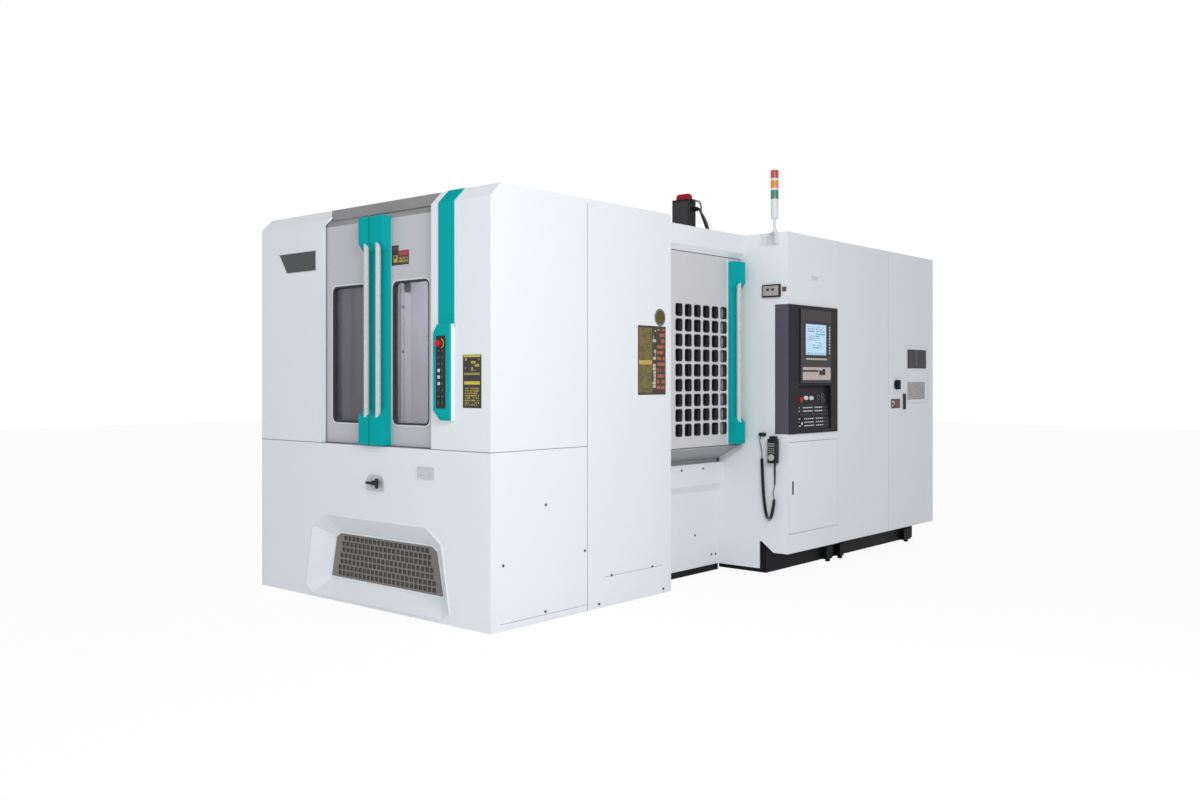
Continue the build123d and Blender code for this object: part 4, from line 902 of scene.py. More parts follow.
@dataclass
class Shop:
    """What the sub-assemblies share: the loaded frame, the known finishes and the materials made so far."""

    frame: dict
    finishes: dict[str, tuple[Finish, str]] = field(default_factory=dict)
    materials: dict[str, bpy.types.Material] = field(default_factory=dict)

    def __post_init__(self) -> None:
        """Learn the finishes of the table."""
        for slot, group in FINISHES.items():
            for name, finish in group.items():
                self.finishes[name] = (finish, slot)

    def material(self, name: str) -> bpy.types.Material:
        """The material of a known finish, made once."""
        if name not in self.materials:
            self.materials[name] = self.finishes[name][0].dress(name)
        return self.materials[name]

    def coat(self, finish: str, *nodes: str) -> None:
        """Give CAD nodes a finish.

        Args:
            finish: The finish's name.
            nodes: The nodes' names.
        """
        for node in nodes:
            piece = self.frame["nodes"][node]
            if not piece.material_slots:
                piece.data.materials.append(self.material(finish))
            for slot in piece.material_slots:
                slot.material = self.material(finish)
        log.info("coated %s with %s", ", ".join(nodes), finish)

    def add(
        self,
        name: str,
        face: Face,
        surface: Surface,
        finish: str,
        body: str = "machine",
        slot: str = "",
        smooth: bool = False,
    ) -> bpy.types.Object:
        """Make a piece from a surface, and let it ride on a body.

        Args:
            name: The piece's name.
            face: The face of the machine that it stands on.
            surface: Its surface, in the face's coordinates.
            finish: Its finish's name.
            body: The body that it moves with.
            slot: Not used.
            smooth: True for a piece that is shaded smooth.

        Returns:
            The piece.
        """
        placed = face.place(surface)
        mesh = bpy.data.meshes.new(name)
        faces = placed.quads.tolist() + [cap.tolist() for cap in placed.caps]
        mesh.from_pydata(placed.points, [], faces)
        mesh.polygons.foreach_set("use_smooth", np.full(len(mesh.polygons), smooth))
        mesh.materials.append(self.material(finish))
        mesh.update()
        piece = bpy.data.objects.new(name, mesh)
        bpy.context.scene.collection.objects.link(piece)
        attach(piece, body)
        log.info("made %s, %d faces, on %s", name, len(mesh.polygons), body)
        return piece

    def printed(
        self,
        name: str,
        face: Face,
        sheet: Surface,
        kind: PrintedPlate,
        body: str = "machine",
        slot: str = "black_plastic",
    ) -> None:
        """Add a plate with a print of its own.

        Args:
            name: The plate's name, and its finish's.
            face: The face that it stands on.
            sheet: Its surface.
            kind: What is printed on it.
            body: The body that it moves with.
            slot: The record's material slot.
        """
        self.finishes[name] = (kind, slot)
        self.add(name, face, sheet, name, body)


def grid(columns: Sequence[float], rows: Sequence[float]) -> np.ndarray:
    """Offsets of a grid of copies, every column with every row."""
    across, up = np.meshgrid(columns, rows)
    return np.stack([across.ravel(), up.ravel(), np.zeros(across.size)], axis=1)


def spots(*places: Span) -> np.ndarray:
    """Offsets of copies at chosen (across, up) places."""
    return np.pad(np.array(places, dtype=float), ((0, 0), (0, 1)))


def screw_head(radius: float = 0.007) -> Surface:
    """A domed screw head with a sunk socket: a turned profile of rim, dome, socket wall and floor."""
    shares = np.array([(1.0, 0.0), (1.0, 0.25), (0.8, 0.5), (0.4, 0.55), (0.34, 0.2)])
    return turned((0, 0), radius * shares, 14)


# Sub-assemblies


@dataclass(frozen=True)
class Lamp:
    """A square soft lamp: its name, place, what it looks at, its side and its power in watts."""

    name: str
    place: Colour
    target: Colour
    size: float
    power: float

    def hang(self, scene: bpy.types.Scene) -> None:
        """Put the lamp in the scene, turned so that its own -Z points at the target."""
        data = bpy.data.lights.new(self.name, "AREA")
        data.energy = self.power
        data.size = self.size
        lamp = bpy.data.objects.new(self.name, data)
        lamp.location = self.place
        away = Vector(self.place) - Vector(self.target)
        lamp.rotation_euler = away.to_track_quat("Z", "Y").to_euler()
        lamp.visible_camera = False
        scene.collection.objects.link(lamp)


@dataclass
class Studio:
    """Camera, lamps, world and floor of the photograph."""

    camera_place: Colour = (5.587, -6.9485, 1.467)
    camera_turn: float = 40.74
    lens: float = 32.84
    shift_up: float = -0.0161
    room_level: float = 0.52
    lamps: tuple[Lamp, ...] = (
        Lamp("soft_key", (5.4, -4.6, 3.6), (1.0, -1.6, 1.3), 2.4, 175.0),
        Lamp("front_fill", (-1.6, -8.2, 3.4), (-0.2, -2.5, 1.3), 3.0, 42.0),
        Lamp("chamber_lamp", (-0.1, -2.2, 2.45), (-1.2, -1.6, 1.4), 0.5, 34.0),
    )
    floor_half: float = 30.0
    floor_white: float = 0.93

    def build(self) -> None:
        """Make the camera, the lamps, the world and the floor."""
        scene = bpy.context.scene
        scene.view_settings.view_transform = "Standard"
        data = bpy.data.cameras.new("camera")
        data.lens = self.lens
        data.sensor_width = 36.0
        data.shift_y = self.shift_up
        camera = bpy.data.objects.new("camera", data)
        camera.location = self.camera_place
        camera.rotation_euler = (pi / 2, 0.0, radians(self.camera_turn))
        scene.collection.objects.link(camera)
        scene.camera = camera
        for lamp in self.lamps:
            lamp.hang(scene)
        self.light_room(scene)
        self.lay_floor(scene)

    def light_room(self, scene: bpy.types.Scene) -> None:
        """A world that is white to the camera and a plain level to the object."""
        world = bpy.data.worlds.new("room")
        world.use_nodes = True
        nodes = Nodes(world.node_tree)
        room = nodes.node("ShaderNodeBackground", {}, {"Color": (0.985, 0.99, 1.0), "Strength": self.room_level})
        white = nodes.node("ShaderNodeBackground", {}, {"Color": (1.0, 1.0, 1.0), "Strength": 1.0})
        mixed = nodes.node("ShaderNodeMixShader", {}, {0: nodes.seen(), 1: room.outputs[0], 2: white.outputs[0]})
        nodes.node("ShaderNodeOutputWorld", {}, {0: mixed.outputs[0]})
        scene.world = world

    def lay_floor(self, scene: bpy.types.Scene) -> None:
        """A pale floor that shows white to the camera and keeps the object's shadow."""
        paint = Paint("pale_floor")
        paint.put("Base Color", paint.mix(paint.noise(0.8, 2.0) * 0.1, (0.93, 0.93, 0.93), (0.88, 0.88, 0.88)))
        paint.put("Roughness", 0.9)
        white = paint.node("ShaderNodeEmission", {}, {"Color": (1.0, 1.0, 1.0), "Strength": 1.0})
        inputs = {0: paint.seen() * self.floor_white, 1: paint.surface.outputs[0], 2: white.outputs[0]}
        blended = paint.node("ShaderNodeMixShader", {}, inputs)
        paint.tree.links.new(blended.outputs[0], paint.output.inputs[0])
        half = self.floor_half
        mesh = bpy.data.meshes.new("floor")
        corners = [(-half, -half, 0), (half, -half, 0), (half, half, 0), (-half, half, 0)]
        mesh.from_pydata(corners, [], [[0, 1, 2, 3]])
        mesh.materials.append(paint.material)
        floor = bpy.data.objects.new("floor", mesh)
        scene.collection.objects.link(floor)


class Part:
    """A sub-assembly of the machine."""

    def build(self, shop: Shop) -> None:
        """Coat the sub-assembly's nodes and add its pieces.

        Args:
            shop: The shared frame and finishes.
        """
        raise NotImplementedError


def eased(share: np.ndarray) -> np.ndarray:
    """A smooth rise from 0 to 1 as the share goes from 0 to 1, level before and after."""
    held = np.clip(share, 0.0, 1.0)
    return held * held * (3.0 - 2.0 * held)


@dataclass
class Cords(Part):
    """The handset's curly cord and the axis motor's two cables, on splines of the solids' own routes."""

    right: float = 0.980
    handset_y: float = 0.0735
    signal_y: float = 0.7145
    power_y: float = 0.7585
    handset_route: tuple[Span, ...] = (
        (0.150, 1.050), (0.150, 1.038), (0.144, 1.020), (0.147, 0.998), (0.156, 0.973), (0.163, 0.946),
        (0.165, 0.921), (0.163, 0.897), (0.163, 0.870), (0.166, 0.815), (0.170, 0.730), (0.175, 0.645),
        (0.181, 0.580), (0.190, 0.523), (0.199, 0.470), (0.213, 0.434), (0.237, 0.434), (0.251, 0.470),
        (0.262, 0.523), (0.269, 0.572), (0.268, 0.598), (0.265, 0.611), (0.261, 0.629), (0.264, 0.650),
        (0.271, 0.668), (0.276, 0.681), (0.276, 0.693),
    )
    signal_route: tuple[Span, ...] = (
        (-0.925, 3.012), (-0.890, 3.012), (-0.858, 2.988), (-0.850, 2.950), (-0.857, 2.915), (-0.828, 2.878),
        (-0.797, 2.828), (-0.779, 2.780), (-0.765, 2.730), (-0.756, 2.668), (-0.756, 2.615),
    )
    power_route: tuple[Span, ...] = (
        (-0.925, 2.950), (-0.903, 2.950), (-0.886, 2.922), (-0.868, 2.876), (-0.840, 2.812),
        (-0.817, 2.755), (-0.808, 2.700), (-0.805, 2.655), (-0.805, 2.615),
    )
    coil_top: float = 0.897
    coil_end: float = 0.598
    coil_radius: float = 0.0098
    coil_ease: float = 0.024
    turn_pitch: float = 0.0074
    cord_radius: float = 0.0031
    step: float = 0.0006
    blur: int = 41

    def build(self, shop: Shop) -> None:
        signal = self.spline(shop, "signal_cable", self.signal_route, self.signal_y, 0.007, "cord_grey")
        power = self.spline(shop, "power_cable", self.power_route, self.power_y, 0.011, "cord_black")
        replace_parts(signal, "motor_cables")
        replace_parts(power, "motor_cables")
        bare = self.spline(shop, "handset_line", self.handset_route, self.handset_y, 0.0, "cord_black")
        mesh = bpy.data.meshes.new_from_object(bare)
        line = np.empty(len(mesh.vertices) * 3)
        mesh.vertices.foreach_get("co", line)
        bpy.data.objects.remove(bare)
        bpy.data.meshes.remove(mesh)
        path, guide = self.curl(line.reshape(-1, 3))
        wound = tube(path, guide, self.cord_radius)
        curly = shop.add("handset_cord", Face(Side.TOP, 0.0), wound, "cord_black", smooth=True)
        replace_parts(curly, "cord_leads", "cord_coil")
        log.info("the handset's cord is %.3f m", float(np.sum(np.linalg.norm(np.diff(path, axis=0), axis=1))))

    def spline(
        self, shop: Shop, name: str, route: Sequence[Span], depth: float, radius: float, finish: str
    ) -> bpy.types.Object:
        """A smooth spline with the route's points as its control points, in a plane across Y.

        Args:
            shop: The shared frame and finishes.
            name: The piece's name.
            route: Points, as (offset from the right side, height).
            depth: The plane's Y.
            radius: The cord's radius, 0 for a bare line.
            finish: Its finish's name.

        Returns:
            The curve.
        """
        curve = bpy.data.curves.new(name, "CURVE")
        curve.dimensions = "3D"
        line = curve.splines.new("NURBS")
        line.points.add(len(route) - 1)
        offsets, heights = np.array(route).T
        full = np.ones(len(route))
        places = np.stack([self.right + offsets, depth * full, heights, full], axis=1)
        line.points.foreach_set("co", places.ravel())
        line.order_u = 3
        line.use_endpoint_u = True
        line.resolution_u = 40 if radius == 0 else 10
        curve.bevel_depth = radius
        curve.bevel_resolution = 4
        curve.use_fill_caps = radius > 0
        curve.materials.append(shop.material(finish))
        piece = bpy.data.objects.new(name, curve)
        bpy.context.scene.collection.objects.link(piece)
        if radius > 0:
            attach(piece, "machine")
        return piece

    def curl(self, line: np.ndarray) -> tuple[np.ndarray, np.ndarray]:
        """Wind the coiled stretch of a line.

        Each point moves off the line by a radius that eases in at both ends of the coil, at an angle
        that grows by one turn for each pitch, and by less in the bend, where the turns' inner sides
        come together.

        Args:
            line: The (n, 3) points of the bare line, in a plane across Y.

        Returns:
            The (n, 3) points of the wound cord, and the directions away from the line.
        """
        arc = np.concatenate([[0.0], np.cumsum(np.linalg.norm(np.diff(line, axis=0), axis=1))])
        run = np.linspace(0.0, arc[-1], int(arc[-1] / self.step))
        middle = np.stack([np.interp(run, arc, line[:, axis]) for axis in range(3)], axis=1)
        heading = np.unwrap(np.arctan2(np.gradient(middle[:, 2]), np.gradient(middle[:, 0])))
        window = np.hanning(self.blur) / np.sum(np.hanning(self.blur))
        heading = np.convolve(np.pad(heading, self.blur // 2, mode="edge"), window, mode="valid")
        bend = np.abs(np.gradient(heading, run))
        wound = run[middle[:, 2] < self.coil_top][0], run[middle[:, 2] < self.coil_end][-1]
        share = eased((run - wound[0]) / self.coil_ease) * eased((wound[1] - run) / self.coil_ease)
        radius = self.coil_radius * share
        rate = share * (1.0 - radius * bend) / self.turn_pitch
        angle = 2 * pi * np.cumsum(rate) * (run[1] - run[0])
        away = np.stack([-np.sin(heading), np.zeros_like(run), np.cos(heading)], axis=1)
        guide = np.cos(angle)[:, None] * np.array([0.0, 1.0, 0.0]) + np.sin(angle)[:, None] * away
        return middle + radius[:, None] * guide, guide


@dataclass
class Cladding(Part):
    """White sheet panels of the whole machine, with their screws and the bare plates on the side."""

    right: float = 0.980
    recess_upper: float = 0.763
    recess_lower: float = 0.7274
    screw: float = 0.009
    side_screws: tuple[Span, ...] = (
        (-2.1065, 0.710), (-1.7485, 0.388), (-2.4685, 0.384), (-2.1095, 0.060),
        (-1.4845, 0.198), (-1.0545, 0.199), (-1.6095, 0.028), (-0.9305, 0.030),
    )
    upper_screws: tuple[Span, ...] = ((-0.4245, 0.801), (-0.1505, 0.800), (0.1245, 0.799))
    lower_screws: tuple[Span, ...] = ((-0.2075, 0.298), (0.0085, 0.127), (0.0645, 0.127))
    disc: Span = (-0.9675, 1.902)

    def build(self, shop: Shop) -> None:
        """Coat the panels and add their screws and plates."""
        shop.coat("body_white", "left_side_panels", "rear_panels", "recess_wall")
        shop.coat("body_white", "column_covers", "cabinet_body", "console_fascia", "console_door")
        shop.coat("sill_grey", "side_sill")
        shop.coat("roof_white", "roof_panels")
        shop.coat("side_white", "right_side_panels")
        shop.coat("front_white", "front_lower_panel", "tower_covers")
        face = Face(Side.RIGHT, self.right)
        head = screw_head(self.screw)
        shop.add("side_screws", face, head.repeated(spots(*self.side_screws)), "zinc_screws")
        gold, soot, olive = (0.50, 0.37, 0.05), (0.030, 0.022, 0.014), (0.10, 0.075, 0.015)
        fields = (
            Field((0.03, 0.50), (0.03, 0.97), (0.16, 0.12, 0.02), olive, PrintKind.BLOCKS, 0.020),
            Field((0.03, 0.50), (0.44, 0.50), gold),
            Field((0.52, 0.64), (0.10, 0.94), soot, (0.50, 0.44, 0.36), PrintKind.BLOCKS, 0.024),
            Field((0.68, 0.96), (0.04, 0.96), soot, (0.42, 0.09, 0.03), PrintKind.BARS, 0.040),
        )
        notice = PrintedPlate("y", (-1.2095, -0.9045), (1.371, 1.841), soot, fields)
        shop.printed("side_notice", face, notice.sheet(0.006, 0.0014), notice)
        disc = turned(self.disc, [(0.060, 0.0), (0.060, 0.0016), (0.058, 0.002), (0.002, 0.002)], 40)
        shop.add("side_disc", face, disc, "disc_grey")
        hub = turned(self.disc, [(0.046, 0.002), (0.046, 0.0028), (0.002, 0.003)], 40)
        shop.add("side_disc_hub", face, hub, "disc_hub")
        rows = ((self.recess_upper, self.upper_screws), (self.recess_lower, self.lower_screws))
        walls = [Face(Side.RIGHT, level).place(head.repeated(spots(*places))) for level, places in rows]
        shop.add("recess_screws", Face(Side.TOP, 0.0), joined(walls), "zinc_screws")


@dataclass
class FrontTrim(Part):
    """Trim of the lower front: alcove rims, filter mat, latch dish, coupling plate and plates."""

    front: float = 2.5685
    alcove_x: float = -0.110
    mouth: tuple[Span, ...] = ((0.515, 0.563), (0.655, 0.474), (0.730, 0.070), (0.655, 0.025))
    throat: tuple[Span, ...] = ((0.470, 0.450), (0.530, 0.415), (0.590, 0.135), (0.570, 0.123))
    throat_depth: float = 0.095
    mat_depth: float = 0.107
    badge: tuple[Span, ...] = ((-1.076, 2.220), (-0.735, 2.220), (-0.735, 2.350), (-1.165, 2.350))

    def mirrored(self, half: Sequence[Span]) -> Outline:
        """The alcove's outline, anticlockwise, from the (half width, height) points of its right half."""
        points = [(self.alcove_x + wide, high) for wide, high in half]
        other = [(self.alcove_x - wide, high) for wide, high in half]
        return polygon(points[::-1] + other)

    def build(self, shop: Shop) -> None:
        """Make the trim."""
        face = Face(Side.FRONT, self.front)
        shop.add("alcove_rim", face, trim(self.mirrored(self.mouth), 0.010, 0.004), "body_white")
        throat = self.mirrored(self.throat)
        inner = loft(throat, [(-0.014, 0.0), (0.0, 0.0), (0.0, 0.005), (-0.014, 0.003)], looped=True)
        shop.add("grille_rim", Face(Side.FRONT, self.front - self.throat_depth), inner, "body_white")
        shop.add("filter_mat", Face(Side.FRONT, self.front - self.mat_depth), plate(throat, 0.004), "filter_mat")
        shop.coat("mesh_grey", "alcove_grille")
        shop.coat("zinc_plate", "front_fittings")
        shop.coat("black_plastic", "front_latch")
        shop.add("badge_plate", face, plate(polygon(self.badge), 0.003), "bare_plate")
        shop.add("badge_edge", face, trim(polygon(self.badge), 0.004, 0.004), "bright_edge")
        yellow, ground = (0.62, 0.50, 0.02), (0.012, 0.012, 0.010)
        fields = (
            Field((0.04, 0.96), (0.955, 0.99), yellow),
            Field((0.12, 0.88), (0.70, 0.93), ground, (0.42, 0.34, 0.03), PrintKind.BLOCKS, 0.018),
            Field((0.08, 0.92), (0.62, 0.66), (0.30, 0.25, 0.03)),
            Field((0.08, 0.92), (0.44, 0.50), yellow),
            Field((0.12, 0.88), (0.05, 0.40), ground, (0.40, 0.33, 0.03), PrintKind.BARS, 0.014),
        )
        label = PrintedPlate("x", (0.744, 0.903), (1.306, 1.620), (0.014, 0.014, 0.012), fields)
        shop.printed("front_label", face, label.sheet(0.004, 0.0012, 0.0003), label)


@dataclass
class FrontDoors(Part):
    """The two sliding leaves: gaskets, panes, teal strips and grab bars."""

    face_out: float = 2.5285
    seal_out: float = 2.4855
    opening: Span = (-0.664, 0.454)
    seal_z: Span = (2.553, 2.6245)
    centres: tuple[float, float] = (-0.4175, 0.2175)
    window: Span = (0.351, 0.902)
    window_z: float = 1.643
    corner: float = 0.040
    rim_gap: float = 0.004
    gasket: tuple[Span, ...] = (
        (-0.009, -0.029), (0.0, -0.029), (0.0, 0.0), (0.004, 0.0), (0.004, 0.002), (-0.004, 0.003), (-0.009, 0.001),
    )

    def build(self, shop: Shop) -> None:
        """Dress both leaves."""
        (left, right), (low, high) = self.opening, self.seal_z
        seal = loft(polygon([(left, low), (right, low), (right, high), (left, high)]), [(0.0, 0.0), (0.0, 0.0022)])
        # A strip that closes the gap over the leaves, coloured in the slope's painted shade grey.
        shop.add("crown_seal", Face(Side.FRONT, self.seal_out), seal, "seal_grey")
        face = Face(Side.FRONT, self.face_out)
        for name, x in zip(("left", "right"), self.centres):
            door = f"{name}_door"
            finishes = {"leaf": "door_grey", "window": f"{name}_glass", "handle": "door_teal", "bar": "bar_grey"}
            for node, finish in finishes.items():
                shop.coat(finish, f"{door}_{node}")
            outline = rounded((x, self.window_z), self.window, self.corner, 8)
            wider = Outline(outline.points + self.rim_gap * outline.spread, outline.spread)
            shop.add(f"{door}_rim", face, trim(wider, 0.009, 0.0035), "rim_light", door)
            gasket = loft(outline, self.gasket, looped=True)
            shop.add(f"{door}_gasket", face, gasket, "gasket_rubber", door)
        gold, soot = (0.46, 0.36, 0.06), (0.030, 0.016, 0.010)
        fields = (
            Field((0.06, 0.34), (0.76, 0.92), (0.30, 0.045, 0.02), soot, PrintKind.BARS, 0.012),
            Field((0.10, 0.34), (0.14, 0.50), gold, soot, PrintKind.BLOCKS, 0.02),
            Field((0.42, 0.98), (0.48, 0.68), (0.42, 0.03, 0.03)),
            Field((0.42, 0.94), (0.10, 0.42), (0.11, 0.075, 0.02), gold, PrintKind.BARS, 0.018),
        )
        small = PrintedPlate("x", (0.030, 0.199), (2.199, 2.325), soot, fields)
        corners = [(0.030, 2.199), (0.199, 2.199), (0.199, 2.290), (0.098, 2.290), (0.098, 2.325), (0.030, 2.325)]
        shop.printed("leaf_plate", face, plate(polygon(corners), 0.0012, 0.0003), small, "right_door")


@dataclass
class ControlPod(Part):
    """The teal pod and stripe on the right tower: key plate, keys, stop button ring and crescent."""

    tower_face: float = 2.5685
    key_face: float = 2.6085
    stripe_x: Span = (0.526, 0.668)
    stripe: tuple[Span, ...] = (
        (-2.5685, 1.790), (-2.5685, 2.541), (-2.4855, 2.625),
        (-2.48833, 2.62783), (-2.5725, 2.54266), (-2.5725, 1.790),
    )
    front: tuple[Span, ...] = (
        (0.520, 1.290), (0.562, 1.248), (0.664, 1.248), (0.664, 1.806), (0.556, 1.806), (0.520, 1.755),
    )
    foot: tuple[Span, ...] = (
        (0.520, 1.275), (0.566, 1.227), (0.668, 1.227), (0.668, 1.806), (0.556, 1.806), (0.520, 1.755),
    )
    keypad: tuple[Span, Span] = ((0.549, 0.632), (1.302, 1.735))
    key_columns: Span = (0.5765, 0.6105)
    key_rows: tuple[float, ...] = (1.645, 1.606, 1.567, 1.528, 1.489, 1.450, 1.411, 1.372, 1.333)
    lit_rows: tuple[float, ...] = (1.528, 1.489, 1.450)
    stop: Span = (0.590, 1.690)
    crescent: Span = (0.026, 0.033)
    crescent_angle: float = 1.2

    def build(self, shop: Shop) -> None:
        """Dress the pod."""
        tower = Face(Side.FRONT, self.tower_face)
        shop.add("pod_sides", tower, loft(polygon(self.foot), [(0.0, 0.0), (0.0, 0.025)]), "pod_white")
        top = np.array(self.front)
        case = loft(Outline(top, np.array(self.foot) - top), [(1.0, 0.024), (0.06, 0.0385), (0.0, 0.040)])
        stripe = loft(polygon(self.stripe), [(0.0, edge) for edge in self.stripe_x])
        pod = joined([tower.place(case), Face(Side.RIGHT, 0.0).place(stripe)])
        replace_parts(shop.add("pod_case", Face(Side.TOP, 0.0), pod, "teal_paint"), "control_pod")
        shop.coat("red_plastic", "pod_stop_button")
        face = Face(Side.FRONT, self.key_face)
        (left, right), (low, high) = self.keypad
        centre, size = ((left + right) / 2, (low + high) / 2), (right - left + 0.004, high - low + 0.004)
        skin = pad(centre, size, 0.006, 4, 0.0012, 0.0004, -0.0015)
        shop.add("pod_key_plate", face, skin, "black_plastic")
        key = pad((0, 0), (0.018, 0.020), 0.003, 3, 0.006, 0.0015)
        dark_rows = [row for row in self.key_rows if row not in self.lit_rows]
        first, last = self.key_columns[:1], self.key_columns[1:]
        dark_keys = np.concatenate([grid(last, self.key_rows), grid(first, dark_rows)])
        shop.add("pod_keys", face, key.repeated(dark_keys), "key_grey")
        shop.add("pod_lit_keys", face, key.repeated(grid(first, self.lit_rows)), "lit_key")
        mark = pad((0, 0), (0.010, 0.003), 0.001, 2, 0.0064, 0.0002)
        shop.add("pod_key_marks", face, mark.repeated(dark_keys), "mark_grey")
        section = [(0.024, 0.0), (0.034, 0.0), (0.034, 0.003), (0.026, 0.0045), (0.024, 0.0045)]
        ring = loft(circle(self.stop, 36), section, looped=True)
        shop.add("pod_stop_ring", face, ring, "black_plastic", smooth=True)
        angles = np.linspace(-self.crescent_angle, self.crescent_angle, 13)
        rays = np.stack([np.cos(angles), np.sin(angles)], 1)
        arc = np.concatenate([self.crescent[1] * rays, self.crescent[0] * rays[::-1]])
        crescent = plate(polygon(arc + np.array(self.stop)), 0.0056, 0.0004, 0.003)
        shop.add("pod_stop_crescent", face, crescent, "stop_yellow")


@dataclass
class SideWindows(Part):
    """The side door: grey leaf with its grid of lights, each with a rubber frame, and their pane."""

    face_out: float = 0.935
    pane_out: float = 0.899
    thickness: float = 0.030
    columns: int = 6
    rows: int = 9
    light: Span = (0.079, 0.086)
    pitch: Span = (0.1118, 0.1076)
    middle: Span = (-0.409, 1.5425)
    corner: float = 0.016
    leaf_y: Span = (-0.8685, 0.0715)
    leaf_z: Span = (0.9855, 2.390)
    slat_shift: float = 0.048
    frame: tuple[Span, ...] = (
        (-0.003, -0.030), (0.0, -0.030), (0.0, 0.0), (0.003, 0.0), (0.003, 0.001), (-0.001, 0.0015), (-0.003, 0.0),
    )

    def leaf(self, across: np.ndarray, up: np.ndarray) -> Surface:
        """The leaf: a punched cell for each light, and plain sheets round their grid.

        A cell's rings run from its rectangle's edge in to the round cornered opening, back through the
        sheet, and out again. A point of the edge lies beyond the opening's, along the same ray.

        Args:
            across: The middles of the columns.
            up: The middles of the rows.

        Returns:
            The leaf, on the door's face.
        """
        hole = rounded((0, 0), self.light, self.corner, 4)
        inset = hole.points - self.corner * hole.spread
        ray = hole.spread / np.max(np.abs(hole.spread), axis=1, keepdims=True)
        edge = inset + (np.array(self.pitch) / 2 - np.abs(inset)) * ray
        back = -self.thickness
        cell = loft(Outline(hole.points, edge - hole.points), [(1.0, 0.0), (0.0, 0.0), (0.0, back), (1.0, back)])
        cells = Surface(cell.points, cell.quads).repeated(grid(across, up))
        half = np.array((self.columns, self.rows)) * np.array(self.pitch) / 2
        low, high = np.array(self.middle) - half, np.array(self.middle) + half
        return joined([cells, surround(self.leaf_y, self.leaf_z, low, high, back, 0.0)])

    def build(self, shop: Shop) -> None:
        """Dress the door."""
        face = Face(Side.RIGHT, self.face_out)
        across = self.middle[0] + (np.arange(self.columns) - (self.columns - 1) / 2) * self.pitch[0]
        up = self.middle[1] + (np.arange(self.rows) - (self.rows - 1) / 2) * self.pitch[1]
        leaf = shop.add("side_leaf", face, self.leaf(across, up), "side_door_grey", "side_door")
        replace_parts(leaf, "side_door_leaf")
        height = self.rows * self.pitch[1]
        sheet = pad(self.middle, (self.columns * self.pitch[0], height), 0.01, 3, 0.0055, 0.0005)
        pane = shop.add("side_pane", Face(Side.RIGHT, self.pane_out), sheet, "side_glass", "side_door")
        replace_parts(pane, "side_door_window")
        shop.coat("teal_paint", "side_door_handle")
        shop.coat("bar_grey", "side_door_bar")
        frame = loft(rounded((0, 0), self.light, self.corner, 4), self.frame, looped=True)
        shop.add("side_light_frames", face, frame.repeated(grid(across, up)), "gasket_rubber", "side_door")
        deep = Face(Side.RIGHT, self.face_out - self.thickness)
        # Painted light: grey strips behind the pane of the last column and a half of lights, for the lit inside
        # seen through them.
        places = ((across[-1] + 0.0405, 0.079), (across[-2] + 0.062, 0.044))
        light_strips = [pad((y, self.middle[1]), (wide, height), 0.002, 2, 0.0008, 0.0003) for y, wide in places]
        shop.add("side_painted_light_strips", deep, joined(light_strips), "guard_grey", "side_door")
        slat = pad((0, self.middle[1]), (0.012, height), 0.001, 2, 0.0008, 0.0003)
        slats = slat.repeated(grid(across[:4] + self.slat_shift, (0.0,)))
        shop.add("side_slats", deep, slats, "slat_grey", "side_door")
        edge = pad((-0.0765, 1.688), (0.010, 1.390), 0.002, 2, 0.004, 0.001)
        shop.add("side_door_edge", face, edge, "rim_light", "side_door", "body_white")


